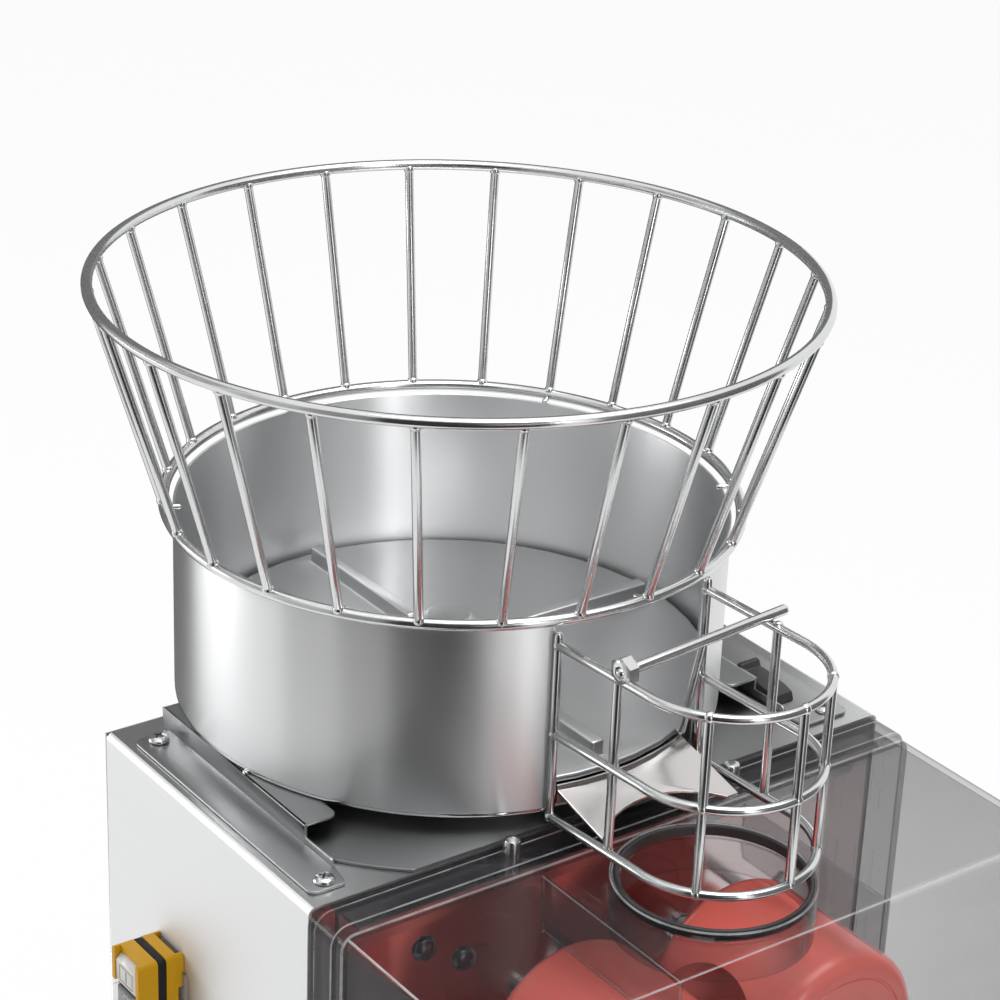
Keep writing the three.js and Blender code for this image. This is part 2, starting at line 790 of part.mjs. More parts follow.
// One U-shaped wire of the cage, swept from post to post.
function cageHoop(z) {
  const arc = range(arcSteps + 1).map((k) => {
    const angle = Math.PI + k * Math.PI / arcSteps;
    return [cageCentreX + cageRadius * Math.cos(angle), cageCentreY + cageRadius * Math.sin(angle)];
  });
  const points = [mouthPost(mouthLeft), ...arc, mouthPost(mouthRight)];
  const path = new THREE.CurvePath();
  const at = ([x, y]) => new THREE.Vector3(x, y, z);
  points.slice(1).forEach((end, k) => path.add(new THREE.LineCurve3(at(points[k]), at(end))));
  return wire(path, cageWire, cageSteps);
}

function cageSideX(side) {
  return cageCentreX + side * cageRadius;
}

function guideCage() {
  const bottom = cageBottom - cageWire / 2;
  const top = cageTop + cageWire / 2;
  const [leftX, leftY] = mouthPost(mouthLeft);
  const [rightX, rightY] = mouthPost(mouthRight);
  const posts = [
    bar(cageWire, [leftX, leftY, drumFloor], [leftX, leftY, cagePostTop], wireFacets),
    bar(cageWire, [rightX, rightY, drumFloor], [rightX, rightY, cagePostTop], wireFacets),
    bar(cageWire, [cageSideX(-1), -cageSidePostReach, bottom], [cageSideX(-1), -cageSidePostReach, top], wireFacets),
    bar(cageWire, [cageSideX(1), -cageSidePostReach, bottom], [cageSideX(1), -cageSidePostReach, top], wireFacets),
    ...cageFrontPostAngles.map((angle) => {
      const x = cageCentreX + cageRadius * Math.cos(angle);
      const y = cageCentreY + cageRadius * Math.sin(angle);
      return bar(cageWire, [x, y, bottom], [x, y, top], wireFacets);
    }),
  ];
  const brace = bar(cageWire, [rightX, rightY, cageBraceTop], [rightX - cageBraceShift, rightY, cageBraceBottom],
    wireFacets);
  const hoops = [cageTop, cageMiddle, cageBottom].map(cageHoop);
  const nut = alongX(hexagon(-crossbarLeftReach, crossbarZ(), nutWidth),
    [cageSideX(-1) - nutThickness / 2, cageSideX(-1) + nutThickness / 2]);
  return joined([...posts, ...hoops, brace, nut]);
}

function crossbarZ() {
  return cageTop + cageWire + clearance + crossbarWire;
}

function hexagon(u, v, acrossFlats) {
  const step = 2 * Math.PI / hexagonSides;
  const radius = acrossFlats / 2 / Math.cos(step / 2);
  return outline(range(hexagonSides).map((k) => [u + radius * Math.cos(k * step), v + radius * Math.sin(k * step)]));
}

function crossbar() {
  const z = crossbarZ();
  const left = cageSideX(-1) + nutThickness / 2 + clearance;
  return bar(crossbarWire, [left, -crossbarLeftReach, z],
    [cageSideX(1) + crossbarOverhang, -crossbarRightReach, z], wireFacets);
}

// Chute: a curved apron standing on the drum floor in the mouth, and a slope down to the inlet.
function fruitChute() {
  const apronInner = drumRadius - sheetThickness - 2 * chuteApronThickness;
  const floorTop = drumFloorTop + clearance;
  const apron = turned([
    [apronInner, floorTop], [apronInner + chuteApronThickness, floorTop],
    [apronInner + chuteApronThickness, chuteTop], [apronInner, chuteTop], [apronInner, floorTop],
  ], drumX, 0, drumFacets);
  const within = block([-chuteHalfWidth + chuteCentre(), chuteHalfWidth + chuteCentre()],
    [-drumRadius - overrun, -drumRadius * mouthCutShare], [0, chuteTop + overrun]);
  const start = -apronInner * chuteStartShare;
  const end = inletY + chuteCutRadius * chuteEndShare;
  const slopeOutline = outline([
    [start, chuteTop], [start, chuteTop - chuteThickness],
    [end, chuteTop - chuteDrop - chuteThickness], [end, chuteTop - chuteDrop],
  ]);
  const slope = alongX(slopeOutline, [chuteCentre() - chuteHalfWidth, chuteCentre() + chuteHalfWidth]);
  const swing = upright(apronInner, drumX, 0, [0, chuteTop + overrun], drumFacets);
  const mouthOfInlet = upright(chuteCutRadius, 0, inletY, [0, chuteTop + overrun], ringFacets);
  return cut(apron.intersect(within).add(cut(slope, swing)), mouthOfInlet);
}

function chuteCentre() {
  return (mouthLeft + mouthRight) / 2;
}

// Cover: a clear box, open at the back and below, with a thick back flange, an inlet collar and two ribs.
function frontCover() {
  const width = 2 * coverHalfWidth;
  const depth = coverBack - coverFront;
  const shell = new RoundedBoxGeometry(width, depth + 2 * coverEdgeRadius, coverHeight + 2 * coverEdgeRadius,
    coverEdgeSteps, coverEdgeRadius);
  shell.translate(0, coverFront + depth / 2 + coverEdgeRadius, coverTop - coverHeight / 2 - coverEdgeRadius);
  const everything = [-cabinetWidth, cabinetWidth];
  const keep = block(everything, [coverFront - overrun, coverBack - clearance], [coverBottom, coverTop + overrun]);
  const flange = alongY(roundedOutline([-flangeHalfWidth, flangeHalfWidth],
    [coverBottom - flangeCornerRadius, flangeTop], flangeCornerRadius), [flangeFront, coverBack]);
  const flangeKeep = block(everything, [flangeFront - overrun, coverBack + overrun],
    [coverBottom, flangeTop + overrun]);
  const inner = coverHalfWidth - coverWall;
  const hollow = block([-inner, inner], [coverFront + coverWall, coverBack + overrun],
    [coverBottom - overrun, flangeUnder]);
  const collar = upright(inletOuterRadius, 0, inletY,
    [coverTop - inletCollarDepth, coverTop + inletLip], ringFacets);
  const bore = upright(inletOuterRadius - inletWall, 0, inletY, [sealSeat(), coverTop + overrun], ringFacets);
  const throat = upright(inletOuterRadius - inletWall - sealLedgeWidth, 0, inletY,
    [coverTop - inletCollarDepth - overrun, coverTop + overrun], ringFacets);
  const wide = upright(inletOuterRadius - inletWall, 0, inletY,
    [coverTop - inletCollarDepth - overrun, sealSeat() - sealLedgeHeight], ringFacets);
  const ribs = [-1, 1].map((side) => block(
    [side * ribReach - ribThickness / 2, side * ribReach + ribThickness / 2],
    [coverFront + coverWall / 2, flangeFront], [coverTop - coverWall / 2 - ribDepth, coverTop - coverWall / 2]));
  const notches = [-1, 1].map(pinNotch);
  const walls = cut(joined([solid(shell).intersect(keep), flange.intersect(flangeKeep)]), hollow);
  return cut(joined([walls, collar, ...ribs]), bore, throat, wide, ...notches);
}

function sealSeat() {
  return coverTop + inletLip - sealHeight;
}

// The slot behind a locating pin, which lets the cover draw straight forward.
function pinNotch(side) {
  const half = pinRadius + pinNotchClearance;
  const x = side * pinSpacing / 2;
  const slot = block([x - half, x + half], [-pinReach, coverBack + overrun], [flangeUnder - overrun, flangeTop + overrun]);
  return slot.add(upright(half, x, -pinReach, [flangeUnder - overrun, flangeTop + overrun]));
}

function inletSeal() {
  const outer = inletOuterRadius - inletWall - clearance;
  const bottom = sealSeat() + clearance;
  return turned([
    [sealInnerRadius, bottom], [outer, bottom], [outer, bottom + sealHeight],
    [sealInnerRadius, bottom + sealHeight], [sealInnerRadius, bottom],
  ], 0, inletY, ringFacets);
}

// An angle on the front panel that the cover's flange rests on, with its two locating pins.
function coverLedge() {
  const back = cabinetFront - clearance;
  const flat = block([-ledgeHalfWidth, ledgeHalfWidth], [back - ledgeDepth, back], [ledgeTop - sheetThickness, ledgeTop]);
  const drop = block([-ledgeHalfWidth, ledgeHalfWidth], [back - sheetThickness, back], [ledgeTop - ledgeDrop, ledgeTop]);
  const pins = [-1, 1].map((side) =>
    upright(pinRadius, side * pinSpacing / 2, -pinReach, [ledgeTop - sheetThickness, pinRise]));
  return joined([flat, drop, ...pins]);
}

// A spur gear's outline about (x, z), with a tooth centred on the angle turn.
function gearOutline(teeth, turn, x, z) {
  const radius = gearModule * teeth / 2;
  const tip = radius + gearModule * toothHeightShare;
  const root = radius - gearModule * toothRootShare;
  const pitch = 2 * Math.PI / teeth;
  return outline(range(teeth).flatMap((k) => {
    const at = (reach, share) => {
      const angle = turn + (k + share) * pitch;
      return [x + reach * Math.cos(angle), z + reach * Math.sin(angle)];
    };
    return [
      at(root, -toothRootWidthShare), at(tip, -toothTipShare),
      at(tip, toothTipShare), at(root, toothRootWidthShare),
    ];
  }));
}

// How far a gear must turn to mesh with a gear that has turned by followed, seen in the given direction.
function meshTurn(followed, followedTeeth, teeth, direction) {
  return direction + Math.PI + (followedTeeth / teeth) * (direction - followed) - Math.PI / teeth;
}

function gearTurns() {
  const down = Math.atan2(-ballDrop, -ballOutset);
  const left = 0;
  const right = meshTurn(left, gearTeeth, gearTeeth, 0);
  const lowLeft = meshTurn(left, gearTeeth, gearTeeth, down);
  const lowRight = meshTurn(right, gearTeeth, gearTeeth, Math.PI - down);
  return [left, right, lowLeft, lowRight];
}

function driveGear({ x, z }, turn) {
  const wheel = alongY(gearOutline(gearTeeth, turn, x, z), [gearFront, gearBack]);
  return cut(wheel, alongYBar(shaftRadius + clearance, x, z, [gearFront - overrun, gearBack + overrun]));
}

function pressShaft({ x, z }) {
  const front = pressFront - clearance;
  const rod = alongYBar(shaftRadius, x, z, [front - shaftCapLength / 2, gearFrameBack + shaftTail]);
  const cap = alongYBar(shaftCapRadius, x, z, [front - shaftCapLength, front]);
  return rod.add(cap);
}

// A cup drum: a round body with a hemispherical cup on each side.
function cupDrum({ x, z }) {
  const body = alongYBar(lobeRadius, x, z, [pressFront, pressBack], pressFacets);
  const cups = [-1, 1].map((side) => ball(cupRadius, x + side * gearRadius, inletY, z));
  const bore = alongYBar(shaftRadius + clearance, x, z, [pressFront - overrun, pressBack + overrun]);
  return cut(body, ...cups, bore);
}

// A ball drum: a hub with two balls on short necks, turned to meet the cups.
function ballDrum({ x, z }) {
  const meeting = Math.atan2(ballDrop, ballOutset);
  const left = meeting - (Math.PI - meeting);
  const angle = x < 0 ? left : Math.PI - left;
  const hub = alongYBar(ballHubRadius, x, z, [pressFront, pressBack], pressFacets);
  const arms = [0, Math.PI].map((turn) => {
    const [ballX, ballZ] = [x + gearRadius * Math.cos(angle + turn), z + gearRadius * Math.sin(angle + turn)];
    return bar(ballNeckRadius, [x, inletY, z], [ballX, inletY, ballZ]).add(ball(ballRadius, ballX, inletY, ballZ));
  });
  const bore = alongYBar(shaftRadius + clearance, x, z, [pressFront - overrun, pressBack + overrun]);
  return cut(joined([hub, ...arms]), bore);
}

function motorPinion(followed) {
  const turn = meshTurn(followed, gearTeeth, pinionTeeth, pinionDirection);
  const wheel = alongY(gearOutline(pinionTeeth, turn, pinionX, pinionZ), [gearFront, gearBack]);
  return wheel.add(alongYBar(shaftRadius, pinionX, pinionZ,
    [gearBack - clearance, gearFrameBack + motorShaftInsertion]));
}

// A plate behind the gears that carries the shafts' tails, on four posts from the front panel.
function gearFrame() {
  const top = cupRise + gearFrameMargin;
  const bottom = pinionZ - gearFrameMargin;
  const plate = block([-gearFrameHalfWidth, gearFrameHalfWidth], [gearFrameFront, gearFrameBack], [bottom, top]);
  const through = [gearFrameFront - overrun, gearFrameBack + overrun];
  const holes = [...pressAxes, { x: pinionX, z: pinionZ }].map(({ x, z }) =>
    alongYBar(shaftRadius + clearance, x, z, through));
  const posts = [-1, 1].flatMap((side) => [top - gearPostInset, bottom + gearPostInset].map((z) =>
    alongYBar(gearPostRadius, side * (gearFrameHalfWidth - gearPostInset), z,
      [panelBack + clearance, gearFrameBack], screwFacets)));
  return cut(joined([plate, ...posts]), ...holes);
}

function mainMotor() {
  const front = gearFrameBack + clearance;
  const half = motorGearboxWidth / 2;
  const box = block([pinionX - half, pinionX + half], [front, front + motorGearboxDepth], [pinionZ - half, pinionZ + half]);
  const can = alongYBar(motorCanRadius, pinionX, pinionZ,
    [front + motorGearboxDepth / 2, cabinetBack - motorRearGap]);
  const bore = alongYBar(shaftRadius + clearance, pinionX, pinionZ,
    [front - overrun, gearFrameBack + motorShaftInsertion + clearance]);
  return cut(box.add(can), bore);
}

// The fixed blade between the cup drums, on a foot against the front panel.
function knife() {
  const half = knifeThickness / 2;
  const top = cupRise - knifeTopDrop;
  const blade = alongY(outline([
    [-half, top - knifeHeight], [half, top - knifeHeight], [half, top - knifeEdge], [0, top], [-half, top - knifeEdge],
  ]), [pressFront, cabinetFront - clearance - knifeFootThickness / 2]);
  const foot = block([-knifeFootWidth / 2, knifeFootWidth / 2],
    [cabinetFront - clearance - knifeFootThickness, cabinetFront - clearance], [top - knifeHeight, top - knifeEdge]);
  return blade.add(foot);
}

// A sloping scraper outside each cup drum, on a foot against the front panel.
function peelEjector(side) {
  const start = gearRadius + lobeRadius + ejectorGap;
  const run = ejectorLength * Math.cos(ejectorSlope);
  const fall = ejectorLength * Math.sin(ejectorSlope);
  const slope = [
    [start, cupRise], [start + run, cupRise - fall],
    [start + run, cupRise - fall - ejectorThickness], [start, cupRise - ejectorThickness],
  ];
  const footShape = [
    [start, cupRise], [start + run, cupRise - fall],
    [start + run, cupRise - fall + ejectorFootHeight], [start + run / 2, cupRise + ejectorFootHeight / 2],
  ];
  const onSide = (points) => outline(points.map(([x, z]) => [side * x, z]));
  const back = cabinetFront - clearance;
  return alongY(onSide(slope), [pressFront, back])
    .add(alongY(onSide(footShape), [back - ejectorThickness, back]));
}

// An open-topped tray from an x-y box, with walls and a floor of one thickness.
function openTray(x, y, [z0, z1], wall) {
  const hollow = block([x[0] + wall, x[1] - wall], [y[0] + wall, y[1] - wall], [z0 + wall, z1 + overrun]);
  return cut(block(x, y, [z0, z1]), hollow);
}

// count slots side by side across x, from one y to another.
function slotsAcross(count, width, [x0, x1], y, z) {
  const pitch = (x1 - x0) / count;
  return range(count).map((k) => {
    const middle = x0 + (k + 1 / 2) * pitch;
    return block([middle - width / 2, middle + width / 2], y, z);
  });
}

function filterTray() {
  const x = [-trayHalfWidth, trayHalfWidth];
  const body = openTray(x, [-filterFrontReach, -trayBack], [filterBottom, filterTop], trayWall);
  const lip = block(x, [-filterFrontReach - filterLipDepth, -filterFrontReach + trayWall], [filterTop - trayWall, filterTop]);
  const slots = slotsAcross(filterSlotCount, filterSlotWidth, x,
    [-filterFrontReach + filterSlotMargin, -trayBack - filterSlotMargin], [filterBottom - overrun, filterBottom + overrun]);
  return cut(body.add(lip), ...slots);
}

function juiceTank() {
  const x = [-trayHalfWidth, trayHalfWidth];
  const body = openTray(x, [-tankFrontReach, -trayBack], [tankBottom, tankTop], tankWall);
  const outlet = alongYBar(tapBore, 0, tankBottom + tapRise, [-tankFrontReach - overrun, -tankFrontReach + overrun]);
  return cut(body, outlet);
}

// A folded shelf on the front panel that carries the tank.
function tankShelf() {
  const top = tankBottom - clearance;
  const back = cabinetFront - clearance;
  const x = [-trayHalfWidth, trayHalfWidth];
  const plate = block(x, [-tankFrontReach, back], [top - shelfThickness, top]);
  const drop = block(x, [back - shelfThickness, back], [top - shelfGussetHeight, top]);
  const gusset = [[-tankFrontReach, top], [back, top], [back, top - shelfGussetHeight]];
  const gussets = [-1, 1].map((side) => {
    const outer = side * trayHalfWidth;
    return alongX(outline(gusset), side < 0 ? [outer, outer + shelfThickness] : [outer - shelfThickness, outer]);
  });
  return joined([plate, drop, ...gussets]);
}

// Tap: a bored body on the tank's front, a spout below and the stem that carries the lever.
function juiceTap() {
  const z = tankBottom + tapRise;
  const root = -tankFrontReach - clearance;
  const end = root - tapLength;
  const spoutY = end + tapSpoutRadius;
  const body = alongYBar(tapRadius, 0, z, [end, root]);
  const nut = alongY(hexagon(0, z, 2 * tapNutRadius), [root - tapNutLength, root]);
  const spout = upright(tapSpoutRadius, 0, spoutY, [z - tapSpoutDrop, z]);
  const stem = upright(tapStemRadius, 0, spoutY, [z, z + tapRadius + tapStemHeight]);
  const bore = alongYBar(tapBore, 0, z, [spoutY, root + overrun]);
  const outlet = upright(tapBore, 0, spoutY, [z - tapSpoutDrop - overrun, z]);
  return cut(joined([body, nut, spout, stem]), bore, outlet);
}

function tapPivot() {
  return [0, -tankFrontReach - clearance - tapLength + tapSpoutRadius, tankBottom + tapRise + tapRadius + clearance];
}

function tapLever() {
  const [x, y, z] = tapPivot();
  const boss = upright(leverWidth / 2 + clearance, x, y, [z, z + tapStemHeight - clearance]);
  const arm = block([x - leverWidth / 2, x + leverWidth / 2], [y - leverLength, y],
    [z + tapStemHeight - clearance - leverThickness, z + tapStemHeight - clearance]);
  const hole = upright(tapStemRadius + clearance, x, y, [z - overrun, z + tapStemHeight + overrun]);
  return cut(boss.add(arm), hole);
}

// A tapered open bin with a front lip to pull it by.
function peelBin(side) {
  const place = (pair) => (side > 0 ? pair : mirrored(pair));
  const [inner, outer] = [binInnerReach, binOuterReach];
  const bottom = floorOfBins;
  const shape = (wall, low, high) => outline([
    [inner + wall, high], [outer - wall, high],
    [outer - wall - binTaper, low], [inner + wall + binTaper, low],
  ].map(([x, z]) => [side * x, z]));
  const y = [-binFrontReach, -trayBack];
  const skin = alongY(shape(0, bottom, binTop), y);
  const hollow = alongY(shape(binWall, bottom + binWall, binTop + overrun), [y[0] + binWall, y[1] - binWall]);
  const lip = block(place([inner, outer]), [y[0] - binLipDepth, y[0] + binWall], [binTop - binWall, binTop]);
  return cut(skin, hollow).add(lip);
}

function dripTray() {
  const x = [-trayHalfWidth, trayHalfWidth];
  const top = floorOfBins + dripHeight;
  const body = block(x, [-binFrontReach, -trayBack], [floorOfBins, top]);
  const slots = slotsAcross(dripSlotCount, dripSlotWidth, [x[0] + dripWall, x[1] - dripWall],
    [-binFrontReach + dripSlotMargin, -trayBack - dripSlotMargin], [floorOfBins + dripWall, top + overrun]);
  return cut(body, ...slots);
}

// One layer of the side switch, between two distances out from the cabinet's left face. The outline
// can stand out at the sides and the bottom, and start or end below the switch's top.
function switchLayer([near, far], sideMargin = 0, [top, bottom] = [0, switchHeight]) {
  const half = switchWidth / 2 + sideMargin;
  const shape = roundedOutline([-switchCentreReach - half, -switchCentreReach + half],
    [-switchTopDrop - bottom, -switchTopDrop - top], switchCornerRadius);
  return alongX(shape, [-cabinetHalf - far, -cabinetHalf - near]);
}

const switchPlate = [clearance, clearance + switchPlateThickness];
const switchRear = [switchPlate[1] + clearance, switchPlate[1] + clearance + switchRearDepth];
const switchSeal = [switchRear[1] + clearance, switchRear[1] + clearance + switchSealDepth];
const switchFront = [switchSeal[1] + clearance, switchSeal[1] + clearance + switchFrontDepth];

// The clear plate behind the switch: wide below, with a narrower neck that runs up between its tabs.
function switchBackPlate() {
  const wide = switchLayer(switchPlate, switchPlateSideMargin,
    [switchPlateShoulderDrop, switchHeight + switchPlateBottomMargin]);
  const neck = switchLayer(switchPlate, (switchPlateNeckWidth - switchWidth) / 2,
    [switchPlateTopDrop, switchPlateShoulderDrop + 2 * switchCornerRadius]);
  return wide.add(neck);
}

// The pocket or body of button k, counted from the top, grown by a gap all round.
function buttonBlock(k, gap, [near, far]) {
  const half = switchWidth / 2 - hoodCheekWidth - clearance + gap;
  const top = -switchTopDrop - buttonTopDrop - k * (buttonHeight + buttonGap);
  return block([-cabinetHalf - far, -cabinetHalf - near], [-switchCentreReach - half, -switchCentreReach + half],
    [top - buttonHeight - gap, top + gap]);
}

// The front body: a hood with a cheek standing out on each side of the upper button.
function switchFrontBody() {
  const cheeks = switchLayer([switchFront[0], switchFront[1] + hoodCheekReach], 0, [0, hoodCheekHeight]);
  const half = switchWidth / 2 - hoodCheekWidth;
  const between = block([-cabinetHalf - switchFront[1] - hoodCheekReach - overrun, -cabinetHalf - switchFront[1]],
    [-switchCentreReach - half, -switchCentreReach + half],
    [-switchTopDrop - hoodCheekHeight - overrun, -switchTopDrop + overrun]);
  const pockets = range(2).map((k) =>
    buttonBlock(k, clearance, [switchFront[1] - buttonInset, switchFront[1] + overrun]));
  return cut(switchLayer(switchFront).add(cut(cheeks, between)), ...pockets);
}

function button(k, proud) {
  return buttonBlock(k, 0, [switchFront[1] - buttonInset + buttonTravel + clearance, switchFront[1] + proud]);
}

add('housing_shell', cabinetShell(), steel);
add('front_panel', frontPanel(), steel);
add('rear_cover', rearCover(), steel);
add('base_plate', basePlate(), steel);
for (const [side, x] of [['left', -cabinetHalf + footInset], ['right', cabinetHalf - footInset]]) {
  add(`foot_front_${side}`, foot(x, -coverFrontReach + footInset), blackRubber);
  add(`foot_rear_${side}`, foot(x, cabinetBack - footInset), blackRubber);
}
add('power_inlet', powerInlet(), blackPlastic);
panelScrewPlaces.forEach((place, k) => add(`panel_screw_${k + 1}`, panelScrew(place), darkSteel));
add('hopper_drum', hopperDrum(), steel);
for (const [side, sign] of [['left', -1], ['right', 1]]) {
  add(`drum_bracket_${side}`, drumBracket(sign), steel);
  const [rear, front] = bracketScrews(sign);
  add(`bracket_screw_rear_${side}`, bracketScrew(rear), polished);
  add(`bracket_screw_front_${side}`, bracketScrew(front), polished);
  add(`peel_ejector_${side}`, peelEjector(sign), polished);
  add(`peel_bin_${side}`, peelBin(sign), greyPlastic);
}
add('drum_latch', drumLatch(), blackPlastic);
add('turntable', turntable(), steel);
add('turntable_motor', turntableMotor(), darkSteel);
add('wire_basket', wireBasket(), polished);
add('guide_cage', guideCage(), polished);
add('cage_crossbar', crossbar(), polished);
add('fruit_chute', fruitChute(), steel);
add('cover_ledge', coverLedge(), polished);
add('front_cover', frontCover(), smoke);
add('inlet_seal', inletSeal(), blackRubber);

const turns = gearTurns();
pressAxes.forEach((axis, k) => {
  add(`press_shaft_${axis.name}`, pressShaft(axis), polished);
  add(`drive_gear_${axis.name}`, driveGear(axis, turns[k]), gearSteel);
  add(`press_drum_${axis.name}`, axis.name.startsWith('cup') ? cupDrum(axis) : ballDrum(axis), pressRed);
});
add('motor_pinion', motorPinion(turns[3]), gearSteel);
add('gear_frame', gearFrame(), darkSteel);
add('main_motor', mainMotor(), darkSteel);
add('knife', knife(), polished);
add('filter_tray', filterTray(), steel);
add('juice_tank', juiceTank(), smoke);
add('tank_shelf', tankShelf(), steel);
add('juice_tap', juiceTap(), polished);
add('tap_lever', tapLever(), blackPlastic);
add('drip_tray', dripTray(), steel);
add('switch_back_plate', switchBackPlate(), greyPlastic);
add('switch_rear_body', switchLayer(switchRear), yellow);
add('switch_seal', switchLayer(switchSeal), blackRubber);
add('switch_front_body', switchFrontBody(), yellow);
add('switch_button_on', button(0, buttonProud), white);
add('switch_button_off', button(1, lowerButtonProud), greyPlastic);

// Stand the machine on z = 0 with its footprint centred on the origin.
const extent = new THREE.Box3().setFromObject(group);
const centre = extent.getCenter(new THREE.Vector3());
group.position.set(-centre.x, -centre.y, -extent.min.z);
group.updateMatrixWorld(true);

export default group;
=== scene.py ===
import math

import bmesh
import bpy
from mathutils import Matrix, Vector


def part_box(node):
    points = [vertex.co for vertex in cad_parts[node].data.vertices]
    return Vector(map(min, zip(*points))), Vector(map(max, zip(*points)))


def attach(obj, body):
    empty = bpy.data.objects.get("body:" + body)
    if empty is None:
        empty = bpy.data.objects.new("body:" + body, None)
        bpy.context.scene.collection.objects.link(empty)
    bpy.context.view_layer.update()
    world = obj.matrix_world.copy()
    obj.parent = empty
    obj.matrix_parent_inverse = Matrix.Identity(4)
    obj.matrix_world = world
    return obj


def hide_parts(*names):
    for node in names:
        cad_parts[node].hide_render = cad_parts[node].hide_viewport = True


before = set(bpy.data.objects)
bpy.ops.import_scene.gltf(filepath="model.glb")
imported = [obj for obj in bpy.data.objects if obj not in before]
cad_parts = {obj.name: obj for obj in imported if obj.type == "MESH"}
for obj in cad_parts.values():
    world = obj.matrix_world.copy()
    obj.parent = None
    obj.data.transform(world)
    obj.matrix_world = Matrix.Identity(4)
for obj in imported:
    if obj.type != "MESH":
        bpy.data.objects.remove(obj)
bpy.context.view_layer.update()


# Cabinet shell: one stainless sheet bent over the top and both sides, with a tight, bright bend along
# each top edge. Its sides are satin and its top is a finer, glossier brush. Every other piece is placed
# from its top middle, in millimetres.
MM = 0.001
weld_within = 0.002
shell_low, shell_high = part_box("housing_shell")
cabinet_reach = 139.7
home = Vector(((shell_low.x + shell_high.x) / 2, shell_low.y + cabinet_reach * MM, shell_high.z))
cabinet_half, cabinet_back, cabinet_height = 186.5, 64.8, 498.0
cabinet_sheet, cabinet_bend = 1.5, 4.0


class Tone:
    """A value or colour inside one material. Arithmetic on values adds Math nodes."""

    def __init__(self, tree, socket=None):
        self.tree = tree
        self.socket = socket

    def node(self, kind, settings=None, inputs=None, out=0):
        made = self.tree.nodes.new("ShaderNode" + kind)
        for key, value in (settings or {}).items():
            setattr(made, key, value)
        for key, value in (inputs or {}).items():
            if isinstance(value, Tone):
                self.tree.links.new(value.socket, made.inputs[key])
            else:
                made.inputs[key].default_value = value
        return Tone(self.tree, made.outputs[out])

    def maths(self, operation, a, b):
        return self.node("Math", {"operation": operation}, {0: a, 1: b})

    def __add__(self, other):
        return self.maths("ADD", self, other)

    __radd__ = __add__

    def __mul__(self, other):
        return self.maths("MULTIPLY", self, other)

    __rmul__ = __mul__

    def __pow__(self, other):
        return self.maths("POWER", self, other)

    def noise(self, scale, detail=2.0, stretch=(1, 1, 1)):
        spot = self.node("TexCoord", out="Object")
        spread = self.node("Mapping", {}, {"Vector": spot, "Scale": stretch})
        return self.node("TexNoise", {}, {"Vector": spread, "Scale": scale, "Detail": detail})

    def mixed(self, dark, light):
        """The colour between two colours that this value picks."""
        return self.node("Mix", {"data_type": "RGBA"}, {0: self, 6: (*dark, 1), 7: (*light, 1)}, out=2)

    def into(self, shader, key):
        self.tree.links.new(self.socket, shader.inputs[key])

    def raised(self, shader, strength):
        """Stands this pattern up from the surface by a fraction of a millimetre."""
        bump = self.node("Bump", {}, {"Height": self, "Strength": strength, "Distance": 0.0003})
        bump.into(shader, "Normal")


def coat_of(name, rough, metal, **constants):
    """A new material: its tone, for building values, and its shader, with the constants set."""
    material = bpy.data.materials.new(name)
    material.use_nodes = True
    shader = material.node_tree.nodes["Principled BSDF"]
    shader.inputs["Roughness"].default_value = rough
    shader.inputs["Metallic"].default_value = metal
    for key, value in constants.items():
        shader.inputs[key.replace("_", " ")].default_value = value
    return material, Tone(material.node_tree), shader


def uneven_sheen(shader, rough, *patterns):
    """Lets the roughness wander about a value with each pattern, by that pattern's share."""
    level = rough - sum(share for _, share in patterns) / 2
    for pattern, share in patterns:
        level = pattern * share + level
    level.into(shader, "Roughness")


def brushed(name, colour, rough, stretch, streak=0.03, relief=0.006, **constants):
    """Stainless with fine one-way scratches, a slightly uneven sheen and faint wiping marks."""
    material, tone, shader = coat_of(name, rough, 1.0, **constants)
    grain = tone.noise(1.0, 1.5, stretch)
    dark = [c * (1 - streak) for c in colour]
    light = [min(1, c * (1 + streak)) for c in colour]
    grain.mixed(dark, light).into(shader, "Base Color")
    uneven_sheen(shader, rough, (grain, 0.04), (tone.noise(7.0, 3.0), 0.08))
    grain.raised(shader, relief)
    return material


def piece(name, form, paint, body, stands_for=(), crease=32, soften=0.0, soften_steps=2):
    """Turns a form in millimetres about the cabinet's top into an object that rides on a body."""
    limit = math.radians(crease)
    bmesh.ops.remove_doubles(form, verts=form.verts, dist=weld_within)
    bmesh.ops.recalc_face_normals(form, faces=form.faces)
    if soften:
        sharp = [e for e in form.edges if e.is_manifold and e.calc_face_angle(0) > limit]
        bmesh.ops.bevel(form, geom=sharp, offset=soften, segments=soften_steps, profile=0.5,
                        affect="EDGES", clamp_overlap=True)
    for face in form.faces:
        face.smooth = True
    for edge in form.edges:
        edge.smooth = not (edge.is_manifold and edge.calc_face_angle(0) > limit)
    form.transform(Matrix.Translation(home) @ Matrix.Scale(MM, 4))
    mesh = bpy.data.meshes.new(name)
    form.to_mesh(mesh)
    form.free()
    mesh.materials.append(paint)
    made = bpy.data.objects.new(name, mesh)
    bpy.context.scene.collection.objects.link(made)
    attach(made, body)
    if stands_for:
        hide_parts(*stands_for)
    return made


def prism(form, outline, axis, low, high):
    """Adds an outline of (u, v) pairs drawn out between two values along an axis."""
    turn = {
        "X": lambda u, v, w: (w, u, v), "Y": lambda u, v, w: (u, w, v), "Z": lambda u, v, w: (u, v, w),
    }[axis]
    ends = [[form.verts.new(turn(u, v, w)) for u, v in outline] for w in (low, high)]
    form.faces.new(ends[0])
    form.faces.new(ends[1])
    count = len(outline)
    for i in range(count):
        j = (i + 1) % count
        form.faces.new((ends[0][i], ends[0][j], ends[1][j], ends[1][i]))


